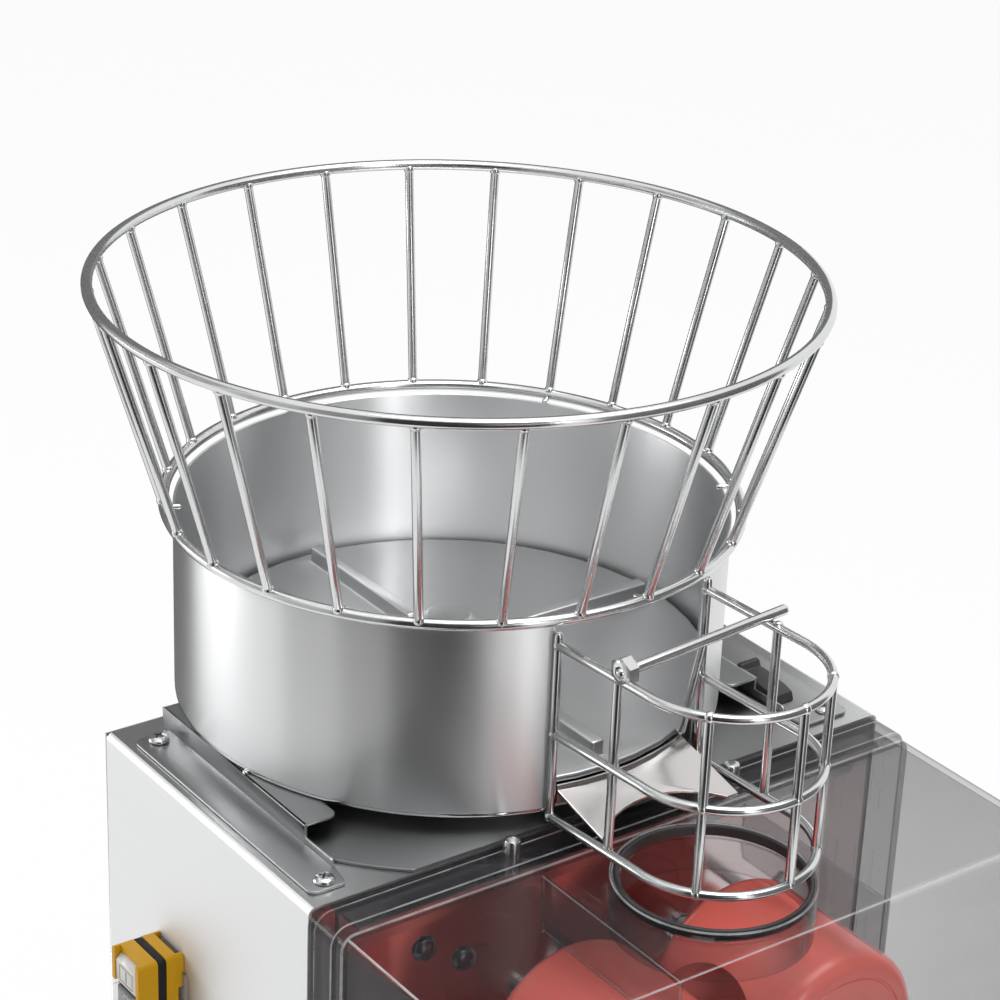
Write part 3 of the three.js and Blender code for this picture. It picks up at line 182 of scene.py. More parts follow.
def arc(u, v, radius, start, end, steps=8):
    """Points on an arc about (u, v), with both ends, angles in degrees."""
    angles = [math.radians(start + (end - start) * k / steps) for k in range(steps + 1)]
    return [(u + radius * math.cos(a), v + radius * math.sin(a)) for a in angles]


def paint_node(names, paint):
    """Gives carried-over solids a finish."""
    for name in names:
        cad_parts[name].data.materials.clear()
        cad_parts[name].data.materials.append(paint)


def eased(name, node, paint, body, radius=0.5, steps=2, crease=32):
    """A solid's own shape with its flat faces made whole and its sharp edges rounded."""
    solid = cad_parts[node]
    form = bmesh.new()
    form.from_mesh(solid.data)
    form.transform(Matrix.Scale(1 / MM, 4) @ Matrix.Translation(-home) @ solid.matrix_world)
    bmesh.ops.remove_doubles(form, verts=form.verts, dist=weld_within)
    bmesh.ops.dissolve_limit(form, angle_limit=math.radians(1), verts=form.verts, edges=form.edges)
    return piece(name, form, paint, body, [node], crease=crease, soften=radius, soften_steps=steps)


def two_toned(made, paint, where):
    """Gives the faces whose direction passes a test a second finish."""
    made.data.materials.append(paint)
    for face in made.data.polygons:
        face.material_index = int(where(face.normal))


along_x, along_y, along_z = (8, 4000, 4000), (4000, 8, 4000), (4000, 4000, 8)
cabinet_steel = brushed("cabinet_steel", (0.78, 0.785, 0.79), 0.58, along_y)
cabinet_top_steel = brushed("cabinet_top_steel", (0.66, 0.665, 0.67), 0.25, along_y)
inner = cabinet_half - cabinet_sheet
inner_bend = cabinet_bend - cabinet_sheet
form = bmesh.new()
prism(form, [
    (cabinet_half, -cabinet_height),
    *arc(cabinet_half - cabinet_bend, -cabinet_bend, cabinet_bend, 0, 90),
    *arc(-cabinet_half + cabinet_bend, -cabinet_bend, cabinet_bend, 90, 180),
    (-cabinet_half, -cabinet_height),
    (-inner, -cabinet_height),
    *arc(-inner + inner_bend, -cabinet_bend, inner_bend, 180, 90),
    *arc(inner - inner_bend, -cabinet_bend, inner_bend, 90, 0),
    (inner, -cabinet_height),
], "Y", -cabinet_reach, cabinet_back)
shell = piece("cabinet_shell", form, cabinet_steel, "machine", ["housing_shell"])
two_toned(shell, cabinet_top_steel, lambda way: way.z > 0.99)


# Front panel: the polished wall that the press drums stand out of, with two dark dome-headed screws in
# its upper left. Its steel colour is tinted pink, a painted reflection of the red drums behind the clear
# cover.
# The pink tint in this steel colour is a painted reflection of the red press drums.
panel_steel_painted_red_reflection = brushed("panel_steel_painted_red_reflection", (0.76, 0.66, 0.665), 0.11, along_z, 0.02, 0.003)
paint_node(["front_panel"], panel_steel_painted_red_reflection)


def box_in_mm(node):
    """The low and high corners of a solid's box, in millimetres from the cabinet's top middle."""
    return [(corner - home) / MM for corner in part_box(node)]


def middle_of(node):
    """The middle of a solid's box."""
    low, high = box_in_mm(node)
    return (low + high) / 2


def turned(form, profile, x, y, steps=96, start=0.0, sweep=360.0):
    """Adds a closed profile of (radius, height) pairs turned about an upright axis."""
    whole = abs(sweep) >= 360
    count = steps if whole else steps + 1
    rings = []
    for k in range(count):
        a = math.radians(start + sweep * k / steps)
        rings.append([form.verts.new((x + r * math.cos(a), y + r * math.sin(a), z)) for r, z in profile])
    for k in range(steps):
        here, there = rings[k], rings[(k + 1) % count]
        for i in range(len(profile)):
            j = (i + 1) % len(profile)
            form.faces.new((here[i], there[i], there[j], here[j]))
    if not whole:
        form.faces.new(rings[0])
        form.faces.new(rings[-1])


def lying(form, x, y, z):
    """Lays what was turned about the origin on its side, with its top end to the front, at a place."""
    form.transform(Matrix.Translation((x, y, z)) @ Matrix.Rotation(math.radians(90), 4, "X"))


def round_end(radius, height, steps=7):
    """The points of a domed end from its rim to the axis."""
    angles = [math.radians(90 * k / steps) for k in range(steps + 1)]
    return [(radius * math.cos(a), height * math.sin(a)) for a in angles]


screw_black, tone, shader = coat_of("screw_black", 0.24, 1.0)
tone.noise(300.0).mixed((0.10, 0.10, 0.11), (0.17, 0.172, 0.18)).into(shader, "Base Color")
dome_radius, dome_height, dome_gap, stem_radius, stem_depth = 7, 4, 0.3, 3, 3
dome = [(0, -stem_depth), (stem_radius, -stem_depth), (stem_radius, 0), *round_end(dome_radius, dome_height)]
for number in (1, 2):
    middle = middle_of(f"panel_screw_{number}")
    form = bmesh.new()
    turned(form, dome, 0, 0, 48)
    lying(form, middle.x, -cabinet_reach - dome_gap, middle.z)
    piece(f"dome_screw_{number}", form, screw_black, "machine", [f"panel_screw_{number}"])


# Back and base: the vented rear sheet, the folded base plate, the moulded mains socket and four
# rubber feet with a waist. The socket is where a cord would plug in.
rear_steel = brushed("rear_steel", (0.62, 0.625, 0.63), 0.36, along_z)
eased("vented_back", "rear_cover", rear_steel, "machine", 0.25)
eased("base_tray", "base_plate", rear_steel, "machine", 0.5)


def moulded(name, dark, light, rough, grain=900.0, relief=0.08, **constants):
    """Moulded plastic or rubber: an even colour with a faint mottle and a fine moulded texture."""
    material, tone, shader = coat_of(name, rough, 0.0, **constants)
    speck = tone.noise(grain, 2.0)
    cloud = tone.noise(14.0, 2.0)
    cloud.mixed(dark, light).into(shader, "Base Color")
    uneven_sheen(shader, rough, (speck, 0.10), (cloud, 0.08))
    speck.raised(shader, relief)
    return material


black_plastic = moulded("black_plastic", (0.018, 0.018, 0.02), (0.03, 0.03, 0.032), 0.42)
foot_rubber = moulded("foot_rubber", (0.013, 0.013, 0.013), (0.024, 0.024, 0.024), 0.75, relief=0.2)
eased("mains_socket", "power_inlet", black_plastic, "machine", 0.6, 3)
foot_sole, foot_radius, foot_height, foot_round = 14.0, 20.0, 27.2, 2.0
foot_waist, foot_shoulder = (17.2, 9.0), (19.6, 17.5)
foot_profile = [
    (0, 0), (foot_sole, 0), *arc(foot_sole, foot_round, foot_round, -90, -20, 4), foot_waist, foot_shoulder,
    *arc(foot_radius - foot_round, foot_height - foot_round, foot_round, 0, 90, 5), (0, foot_height),
]
for place in ("front_left", "front_right", "rear_left", "rear_right"):
    bottom = box_in_mm("foot_" + place)[0].z
    middle = middle_of("foot_" + place)
    form = bmesh.new()
    turned(form, [(r, bottom + z) for r, z in foot_profile], middle.x, middle.y, 48)
    piece("rubber_foot_" + place, form, foot_rubber, "machine", ["foot_" + place])


# Drum brackets: two strips of satin sheet folded to a Z. The foot is screwed to the cabinet and runs on
# forward past the web with a low lip along it, and the top flange reaches in under the drum.
drum_x, drum_bottom = -8.6, 13.3
bracket_steel = brushed("bracket_steel", (0.45, 0.455, 0.46), 0.36, along_y)
web_near, sheet, flange_reach = 147.4, 1.5, 20.0
bracket_front, lip_front, web_front, foot_back, bracket_back = -131.0, -118.0, -90.0, 48.0, 54.0
foot_rise, lip_top, bracket_top, lip_lap, lip_slant = 0.3, 6.0, 13.0, 0.4, 4.0
nose_cut, nose_drop = 3.0, 2.0


def cornered(points, radii, steps=6):
    """A closed outline of points whose corners are rounded, each by its own radius."""
    made = []
    for k, point in enumerate(points):
        here = Vector(point)
        before = (Vector(points[k - 1]) - here).normalized()
        after = (Vector(points[(k + 1) % len(points)]) - here).normalized()
        if not radii[k]:
            made.append((here.x, here.y))
            continue
        half = before.angle(after) / 2
        centre = here + (before + after).normalized() * radii[k] / math.sin(half)
        touches = [here + way * radii[k] / math.tan(half) for way in (before, after)]
        first, last = ((touch - centre).normalized() for touch in touches)
        for step in range(steps + 1):
            way = first.slerp(last, step / steps)
            made.append((centre.x + radii[k] * way.x, centre.y + radii[k] * way.y))
    return made


for side, body_side, foot_width in ((-1, "left", 22.0), (1, "right", 33.5)):
    web = drum_x + side * web_near
    web_far, flange_end = web + side * sheet, web - side * (flange_reach - sheet)
    foot_end = web + side * (sheet + foot_width)
    form = bmesh.new()
    prism(form, cornered([
        (web, foot_back), (web, lip_front + nose_drop), (web + side * nose_cut, bracket_front),
        (foot_end, bracket_front), (foot_end, foot_back),
    ], (0, 4, 3, 5, 5)), "Z", foot_rise, foot_rise + sheet)
    prism(form, cornered([
        (web_front + lip_lap, foot_rise), (web_front + lip_lap, lip_top), (lip_front, lip_top),
        (lip_front + lip_slant, foot_rise),
    ], (0, 0, 3, 0)), "X", *sorted((web, web_far)))
    prism(form, cornered([
        (web_far, bracket_back), (web_far, web_front), (flange_end, web_front), (flange_end, bracket_back),
    ], (0, 0, 5, 5)), "Z", bracket_top - sheet, bracket_top)
    prism(form, [
        (web_front, foot_rise), (bracket_back, foot_rise),
        (bracket_back, bracket_top), (web_front, bracket_top),
    ], "X", *sorted((web, web_far)))
    piece("hopper_bracket_" + body_side, form, bracket_steel, "machine", ["drum_bracket_" + body_side],
          soften=0.4, soften_steps=3)


# Bracket screws: four polished pan heads turned from steel bar, with a cross sunk in each. Each is
# pulled down on its bracket's foot and stopped at its own turn.
screw_steel, tone, shader = coat_of("screw_steel", 0.14, 1.0)
tone.noise(260.0).mixed((0.70, 0.70, 0.705), (0.82, 0.82, 0.825)).into(shader, "Base Color")


def hollowed(name, keep, removes, paint, body, stands_for=(), crease=32):
    """A piece made by cutting other forms out of one form, one after another."""
    whole = piece(name, keep, paint, body, stands_for, crease)
    for remove in removes:
        cutter = piece(name + "_cutter", remove, paint, body, crease=crease)
        modifier = whole.modifiers.new("hollow", "BOOLEAN")
        modifier.object = cutter
        modifier.solver = "EXACT"
        bpy.context.view_layer.update()
        cut = bpy.data.meshes.new_from_object(whole.evaluated_get(bpy.context.evaluated_depsgraph_get()))
        whole.modifiers.clear()
        whole.data = cut
        bpy.data.objects.remove(cutter)
    form = bmesh.new()
    form.from_mesh(whole.data)
    for edge in form.edges:
        edge.smooth = not (edge.is_manifold and edge.calc_face_angle(0) > math.radians(crease))
    form.to_mesh(whole.data)
    form.free()
    return whole


head_radius, head_top, head_seat, shank_radius, shank_low = 5.3, 5.1, 2.1, 2.0, -7.5
cross_reach, cross_half, cross_floor, over_head = 2.9, 0.6, 3.1, 8.0
first_turn, next_turn = 28, 17
head = [
    (0, shank_low), (shank_radius, shank_low), (shank_radius, head_seat), (head_radius, head_seat),
    *arc(head_radius, head_seat + 0.5, 0.5, -80, 30, 4), (4.9, 3.9), (3.9, 4.6), (2.2, 5.0), (0, head_top),
]
quarter = [(cross_reach, cross_half), (cross_half, cross_half), (cross_half, cross_reach)]
for number, name in enumerate(("rear_left", "front_left", "rear_right", "front_right")):
    middle = middle_of("bracket_screw_" + name)
    form = bmesh.new()
    turned(form, head, middle.x, middle.y, 48)
    arms = []
    for turn in [math.radians(first_turn + next_turn * number + 90 * k) for k in range(4)]:
        c, s = math.cos(turn), math.sin(turn)
        arms += [(middle.x + c * u - s * v, middle.y + s * u + c * v) for u, v in quarter]
    cross = bmesh.new()
    prism(cross, arms, "Z", cross_floor, over_head)
    hollowed("pan_screw_" + name, form, [cross], screw_steel, "machine",
             ["bracket_screw_" + name])


# Hopper drum: rolled and seam-welded stainless sheet, brushed round its wall, with a turned-in bright
# lip at the bottom, a mouth cut down to the floor and a spot weld where it meets each bracket.
drum_steel = brushed("drum_steel", (0.72, 0.725, 0.73), 0.34, (5, 5, 4000), 0.025, 0.008,
                     Anisotropic=0.88, Anisotropic_Rotation=0.25)
lip_steel = brushed("lip_steel", (0.80, 0.805, 0.81), 0.12, (5, 5, 3000))
floor_steel = brushed("floor_steel", (0.72, 0.725, 0.73), 0.3, (3000, 3000, 8))
drum_radius, drum_sheet, drum_top, wall_low = 150.0, 1.5, 122.3, 16.0
mouth_start, mouth_end = -64.7, 255.0
rim_round, lip_inside, lip_outside, lip_round, seam = 0.7, 146.0, 149.9, 1.6, 0.1
spot_angles, spot_radius, spot_height, spot_sink = (-168.6, -11.4), 1.8, 1.6, 0.2
floor_hole, floor_gap = 18.3, 0.2
drum_inside = drum_radius - drum_sheet
form = bmesh.new()
wall = [
    (drum_inside, wall_low), (drum_inside, drum_top - rim_round),
    *arc(drum_inside + rim_round, drum_top - rim_round, rim_round, 180, 0, 6),
    (drum_radius, wall_low + 1), (drum_radius - 0.2, wall_low),
]
turned(form, wall, drum_x, 0, 180, mouth_start, mouth_end - mouth_start)
piece("hopper_wall", form, drum_steel, "machine", ["hopper_drum"], crease=40)
form = bmesh.new()
lip_floor = drum_bottom + lip_round
lip = [
    (lip_inside, drum_bottom), *arc(lip_outside - lip_round, lip_floor, lip_round, -90, 0, 6),
    (lip_outside, wall_low - seam), (drum_inside, wall_low - seam), (drum_inside, lip_floor),
    (lip_inside, lip_floor),
]
turned(form, lip, drum_x, 0, 180, mouth_start, mouth_end - mouth_start)
spot_low = drum_bottom - spot_sink
spot = [(0, spot_low), *[(p, spot_low + q) for p, q in round_end(spot_radius, spot_height)]]
for x, y in [arc(drum_x, 0, drum_radius + spot_sink, angle, angle, 1)[0] for angle in spot_angles]:
    turned(form, spot, x, y, 20)
piece("hopper_lip", form, lip_steel, "machine")
form = bmesh.new()
floor_edge, floor_top = lip_inside - floor_gap, drum_bottom + drum_sheet
turned(form, [
    (floor_hole, drum_bottom), (floor_edge, drum_bottom), (floor_edge, floor_top), (floor_hole, floor_top),
], drum_x, 0, 160)
made = piece("hopper_floor", form, floor_steel, "machine")
# The drum floor's underside gets a paler, rougher copy of the floor steel. The paler colour is painted light
# on this shaded underside.
drum_underside_painted_light = brushed("drum_underside_painted_light", (0.80, 0.805, 0.81), 0.62, (900, 900, 900))
two_toned(made, drum_underside_painted_light, lambda way: way.z < -0.9)


# Drum base plate: a thin round-fronted steel plate on the cabinet's top between the brackets, brushed
# round like the drum over it. It is trimmed along both brackets, behind the cover and at the back.
base_steel = brushed("base_steel", (0.34, 0.345, 0.35), 0.36, (5, 5, 4000), 0.015, 0.004,
                     Anisotropic=0.9, Anisotropic_Rotation=0.25)
base_hole, base_radius, base_low, base_top, base_round = 24.0, 181.0, 0.2, 1.8, 0.3
base_half, base_front, base_back = web_near - 0.5, -139.4, 52.0
far, under, above = 240, -5, 20


def box_shape(form, x, y, z):
    """Adds a square-edged box between two x, two y and two z values."""
    prism(form, [(y[0], z[0]), (y[1], z[0]), (y[1], z[1]), (y[0], z[1])], "X", *x)
    return form


form = bmesh.new()
turned(form, [
    (base_hole, base_low), (base_radius, base_low), (base_radius, base_top - base_round),
    (base_radius - base_round, base_top), (base_hole, base_top),
], drum_x, 0, 180)
trims = [box_shape(bmesh.new(), x, y, (under, above)) for x, y in (
    ((-far, drum_x - base_half), (-far, far)), ((drum_x + base_half, far), (-far, far)),
    ((-far, far), (-far, base_front)), ((-far, far), (base_back, far)),
)]
hollowed("hopper_base_plate", form, trims, base_steel, "machine")


# Catch: a small black moulded clip on the right bracket that a cleaning tool presses. It has a raised
# finger at the back and a low nose at the front.
low, high = box_in_mm("drum_latch")
saddle, nose_high, nose_low = high.z - 3.5, low.z + 6.5, low.z + 4.9
form = bmesh.new()
clip = [
    (low.y, low.z), (high.y, low.z), (high.y, high.z), (high.y - 3, high.z), (high.y - 5, saddle),
    (high.y - 10, saddle), (low.y + 8, nose_high), (low.y + 2, nose_low),
]
prism(form, clip, "X", low.x, high.x)
piece("drum_catch", form, black_plastic, "machine", ["drum_latch"], soften=0.7,
      soften_steps=3)


# Turntable: a spun stainless disc on a shaft, with a raised cone and four fins that carry what lies on
# it round to the mouth. Its gearmotor hangs under the cabinet's top.
table_steel = brushed("table_steel", (0.56, 0.565, 0.57), 0.3, (3000, 3000, 8))
eased("feed_turntable", "turntable", table_steel, "turntable", 1.2, 3)
motor_paint = moulded("motor_paint", (0.10, 0.105, 0.11), (0.15, 0.155, 0.16), 0.5, 500.0, 0.2)
paint_node(["turntable_motor", "main_motor"], motor_paint)


# Wire basket: two rings of polished round bar joined by splayed rods, each rod welded on the outside of
# the rings with a small bead, and six short hooks that rest on the drum's rim.
wire_steel, tone, shader = coat_of("wire_steel", 0.16, 1.0)
haze = tone.noise(60.0, 3.0)
haze.mixed((0.66, 0.665, 0.67), (0.76, 0.765, 0.77)).into(shader, "Base Color")
uneven_sheen(shader, 0.17, (haze, 0.10))


def wire(form, path, radius, sides=14, closed=False):
    """Adds a round bar along points, with a dome at each open end."""
    points = [Vector(p) for p in path]
    count = len(points)
    rings = []
    across = None
    for i, point in enumerate(points):
        before = points[i - 1] if i or closed else point
        after = points[(i + 1) % count] if i < count - 1 or closed else point
        way = (after - before).normalized()
        across = way.orthogonal() if across is None else across - way * across.dot(way)
        across.normalize()
        rings.append((point, way, across.copy(), radius))
    if not closed:
        for end, sign in ((0, -1), (-1, 1)):
            point, way, across, _ = rings[end]
            for angle in (30, 55, 78):
                a = math.radians(angle)
                cap = (point + sign * way * radius * math.sin(a), way, across, radius * math.cos(a))
                if sign < 0:
                    rings.insert(0, cap)
                else:
                    rings.append(cap)
    loops = []
    for point, way, across, reach in rings:
        other = way.cross(across)
        turns = [2 * math.pi * k / sides for k in range(sides)]
        spokes = [math.cos(t) * across + math.sin(t) * other for t in turns]
        loops.append([form.verts.new(point + reach * spoke) for spoke in spokes])
    for here, there in zip(loops, loops[1:] + (loops[:1] if closed else [])):
        for k in range(sides):
            j = (k + 1) % sides
            form.faces.new((here[k], here[j], there[j], there[k]))
    if not closed:
        form.faces.new(loops[0])
        form.faces.new(loops[-1])


def ball(form, place, radius, steps=8, sides=14):
    """Adds a round ball, such as a bead of weld metal where two bars meet."""
    x, y, z = place
    turns = [math.pi * k / steps for k in range(steps + 1)]
    turned(form, [(max(radius * math.sin(t), 0), z - radius * math.cos(t)) for t in turns], x, y, sides)


def ring_path(radius, z, x, steps=160):
    """Points on a level ring about an upright axis at (x, 0)."""
    turns = [2 * math.pi * k / steps for k in range(steps)]
    return [(x + radius * math.cos(t), radius * math.sin(t), z) for t in turns]


rod_count, rod_start, hook_count = 24, 4.0, 6
low_ring, top_ring = (154.8, 125.6), (192.3, 248.3)
ring_bar, rod_bar, rod_bead, hook_bar, hook_reach = 3.0, 2.5, 3.15, 1.5, 8.0
bead_shares = (0.018, 0.982)
form = bmesh.new()
for radius, z in (top_ring, low_ring):
    wire(form, ring_path(radius, z, drum_x), ring_bar, 18, True)
for k in range(rod_count):
    a = math.radians(rod_start + 360 * k / rod_count)
    ends = [(drum_x + r * math.cos(a), r * math.sin(a), z) for r, z in (low_ring, top_ring)]
    wire(form, ends, rod_bar, 16)
    for share in bead_shares:
        ball(form, [p + (q - p) * share for p, q in zip(*ends)], rod_bead)
hook_ends, hook_z = (low_ring[0], low_ring[0] - hook_reach), low_ring[1] - hook_bar
for k in range(hook_count):
    a = math.radians(rod_start + 360 * (k + 0.5) / hook_count)
    wire(form, [(drum_x + r * math.cos(a), r * math.sin(a), hook_z) for r in hook_ends], hook_bar, 10)
piece("fruit_basket", form, wire_steel, "basket", ["wire_basket"], crease=50)


# Guide cage: bent and welded round wire that stands round the inlet as a guard, with a chamfered
# hexagonal nut on its left leg that holds a straight bar across the top.
cage_radius, cage_x, cage_y, straight_y = 51.0, 8.5, -212.0, -190.0
mouth_left, mouth_right, post_gap = -47.4, 55.6, 2.8
cage_top, cage_middle, cage_low = 110.5, 60.5, 12.5
cage_bar, cage_bead, upright_angles = 2.5, 3.1, (-140, -84, -40)
post_low, post_top, brace_high, brace_low, brace_lean = 15.8, 115.5, 78, 31, 11
nut_x, nut_y, nut_z = cage_x - cage_radius, -195.0, 116.1
nut_radius, nut_half, nut_flat, nut_hole, nut_chamfer = 7.5, 4.0, 6.3, 3.2, 0.9
stub_back, stub_front, stub_radius = 8.5, 0.3, 3.0
bar_lead, bar_past, bar_end_y, bar_radius, bar_gap = 5.5, 7.0, -185.3, 2.8, 0.3


def post_at(x):
    """Where a post beside the mouth stands: just outside the drum's wall."""
    return x, -math.sqrt((drum_radius + post_gap) ** 2 - (x - drum_x) ** 2)


def both_ends(points):
    """A profile given for its front half, repeated the other way up behind it."""
    return [*[(r, -z) for r, z in reversed(points)], *points]


form = bmesh.new()
posts = [post_at(mouth_left), post_at(mouth_right)]
uprights = [(cage_x - cage_radius, straight_y), (cage_x + cage_radius, straight_y)]
uprights += [arc(cage_x, cage_y, cage_radius, angle, angle, 1)[0] for angle in upright_angles]
bow = arc(cage_x, cage_y, cage_radius, 180, 360, 48)
for z in (cage_top, cage_middle, cage_low):
    wire(form, [(x, y, z) for x, y in (posts[0], *bow, posts[1])], cage_bar, 16)
    for x, y in (*uprights, *posts):
        ball(form, (x, y, z), cage_bead)
for x, y in uprights:
    wire(form, [(x, y, cage_low), (x, y, cage_top)], cage_bar, 16)
for x, y in posts:
    wire(form, [(x, y, post_low), (x, y, post_top)], cage_bar, 16)
brace_x, brace_y = posts[1]
wire(form, [(brace_x, brace_y, brace_high), (brace_x - brace_lean, brace_y, brace_low)], cage_bar, 16)
bar_start = Vector((nut_x + bar_lead, nut_y, nut_z))
bar_end = Vector((cage_x + cage_radius + bar_past, bar_end_y, nut_z))
bar_way = (bar_end - bar_start).normalized()
nut = bmesh.new()
turned(nut, both_ends([
    (nut_radius, nut_half - nut_chamfer), (nut_flat, nut_half),
    (nut_hole + 0.4, nut_half), (nut_hole, nut_half - 1),
]), 0, 0, 6, 30)
along_bar = bar_way.to_track_quat("Z", "Y").to_matrix().to_4x4()
nut.transform(Matrix.Translation((nut_x, nut_y, nut_z)) @ along_bar)
carried = bpy.data.meshes.new("carried")
nut.to_mesh(carried)
nut.free()
form.from_mesh(carried)
bpy.data.meshes.remove(carried)
wire(form, [bar_start - bar_way * stub_back, bar_start + bar_way * stub_front], stub_radius, 16)
piece("inlet_cage", form, wire_steel, "machine", ["guide_cage"], crease=44)
form = bmesh.new()
wire(form, [bar_start + bar_way * (stub_front + bar_gap), bar_end], bar_radius, 18)
piece("cage_bar", form, wire_steel, "machine", ["cage_crossbar"], crease=50)


# Chute: a polished apron folded from stainless sheet. It stands in the drum's mouth, slopes down to the
# inlet and is cut out round it.
chute_steel = brushed("chute_steel", (0.62, 0.60, 0.59), 0.2, along_x)
eased("inlet_chute", "fruit_chute", chute_steel, "machine", 0.3)


# Cover ledge: a polished steel angle on the front panel with two locating pins. The pins are turned from
# round bar with a domed end, and stand up through the cover's back flange.
ledge_steel = brushed("ledge_steel", (0.6, 0.6, 0.61), 0.2, along_x)
ledge_back, ledge_top, ledge_half = -140.0, -5.3, 170
ledge_deep, ledge_drop, ledge_sheet = 20, 26, 1.5
pin_x, pin_y, pin_radius, pin_low, pin_top = 72, -150, 4.5, -6, 8.5
form = bmesh.new()
ledge_front, ledge_inside = ledge_back - ledge_deep, ledge_back - ledge_sheet
ledge_under, ledge_low = ledge_top - ledge_sheet, ledge_top - ledge_drop
angle_outline = [
    (ledge_back, ledge_top), (ledge_front, ledge_top), (ledge_front, ledge_under),
    (ledge_inside, ledge_under), (ledge_inside, ledge_low), (ledge_back, ledge_low),
]
prism(form, angle_outline, "X", -ledge_half, ledge_half)
pin = [(0, pin_low), (pin_radius, pin_low), (pin_radius, 7.1), (4.0, 7.9), (3.1, 8.3), (1.8, 8.45),
       (0, pin_top)]
for x in (-pin_x, pin_x):
    turned(form, pin, x, pin_y, 40)
piece("cover_rest", form, ledge_steel, "machine", ["cover_ledge"])


# Front cover: a smoke-grey clear moulding, open at the back and below. It has a thick stepped flange
# round its back, a collar round the inlet and two stiffening ribs under its top.
def clear_smoke(name, tint, seen, dense, rough=0.05, spotted=0.02):
    """Clear moulding: most light goes through its face, and little where it is seen edge on."""
    material, tone, shader = coat_of(name, rough, 0.0, IOR=1.49)
    cloud = tone.noise(9.0, 2.0)
    cloud.mixed([c * 0.9 for c in tint], tint).into(shader, "Base Color")
    edge = tone.node("LayerWeight", {}, {"Blend": 0.5}, out="Facing") ** 2.5
    spots = tone.noise(55.0, 3.0)
    shade = edge * (dense - seen) + spots * spotted + (seen - spotted / 2)
    tone.maths("MINIMUM", shade, 1.0).into(shader, "Alpha")
    return material


smoke = clear_smoke("smoke_clear", (0.035, 0.035, 0.038), 0.056, 1.22)
smoke_edge = clear_smoke("smoke_edge", (0.03, 0.03, 0.033), 0.28, 1.1)
# Pale, spotty copy of the smoke for edge facets: painted highlights along the rims of the clear mouldings.
smoke_rim_painted_highlight = clear_smoke("smoke_rim_painted_highlight", (0.50, 0.50, 0.51), 0.42, 0.8, 0.15, 0.9)


def painted_highlight_rims(made, lean_from=30, largest=0.0006, sideways=False):
    """Paints pale highlights on the edge facets of a clear moulding: those that lean and are small, in
    square metres.
    """
    made.data.materials.append(smoke_rim_painted_highlight)
    for face in made.data.polygons:
        x, y, z = (abs(c) for c in face.normal)
        slopes = sorted((y, math.hypot(x, z))) if sideways else sorted((x, y, z))[1:]
        if math.degrees(math.atan2(*slopes)) > lean_from and face.area < largest:
            face.material_index = 1
    return made


cover_top, cover_bottom, cover_front, flange_front = -2.0, -290.0, -283.0, -168.0
cover_half, cover_wall, cover_edge, inside_edge, overrun = 183.0, 3.0, 3.6, 1.5, 5.0
inlet_y, bore_radius = -222.8, 51.6


def loft(form, rings):
    """Adds closed outlines of equal length, joined in turn and closed at both ends."""
    loops = [[form.verts.new(point) for point in ring] for ring in rings]
    for here, there in zip(loops, loops[1:]):
        for i in range(len(here)):
            j = (i + 1) % len(here)
            form.faces.new((here[i], here[j], there[j], there[i]))
    form.faces.new(loops[0])
    form.faces.new(loops[-1])


def cover_form(half, top, bottom, front, back, edge, steps=5):
    """A box with its upper side edges and its front edges rounded, and its back and bottom square."""
    form = bmesh.new()
    rings = []
    for turn in [90 * k / steps for k in range(steps, -1, -1)] + [None]:
        inset = 0 if turn is None else edge * (1 - math.cos(math.radians(turn)))
        y = back if turn is None else front + edge * (1 - math.sin(math.radians(turn)))
        reach, high, corner = half - inset, top - inset, edge - inset + 0.4
        outline = [
            (-reach, bottom), (reach, bottom), *arc(reach - corner, high - corner, corner, 0, 90, steps),
            *arc(-reach + corner, high - corner, corner, 90, 180, steps),
        ]
        rings.append([(x, y, z) for x, z in outline])
    loft(form, rings)
    return form


form = cover_form(cover_half, cover_top, cover_bottom, cover_front, flange_front, cover_edge)
inside = cover_form(cover_half - cover_wall, cover_top - cover_wall, cover_bottom - overrun,
                    cover_front + cover_wall, flange_front + overrun, inside_edge)
bore = bmesh.new()
turned(bore, [(0, -40), (bore_radius, -40), (bore_radius, 10), (0, 10)], 0, inlet_y, 120)
made = hollowed("cover_shell", form, [inside, bore], smoke, "cover", ["front_cover"], 25)
painted_highlight_rims(made, 40)


def flange_sweep(form, profile, inner, top_inner, bottom, corner=3.0, steps=8):
    """Adds a profile of (y, outward) pairs swept up one side, over the top and down the other."""
    stations = [((-inner, bottom), (-1, 0)), ((-inner, top_inner - corner), (-1, 0))]
    for a in [180 - 90 * k / steps for k in range(1, steps + 1)]:
        c, s = math.cos(math.radians(a)), math.sin(math.radians(a))
        stations.append(((-inner + corner + corner * c, top_inner - corner + corner * s), (c, s)))
    mirror = [((-x, z), (-u, v)) for (x, z), (u, v) in reversed(stations)]
    loops = []
    for (x, z), (u, v) in stations + mirror:
        loops.append([form.verts.new((x + u * out, y, z + v * out)) for y, out in profile])
    for here, there in zip(loops, loops[1:]):
        for i in range(len(profile)):
            j = (i + 1) % len(profile)
            form.faces.new((here[i], here[j], there[j], there[i]))
    form.faces.new(loops[0])
    form.faces.new(loops[-1])


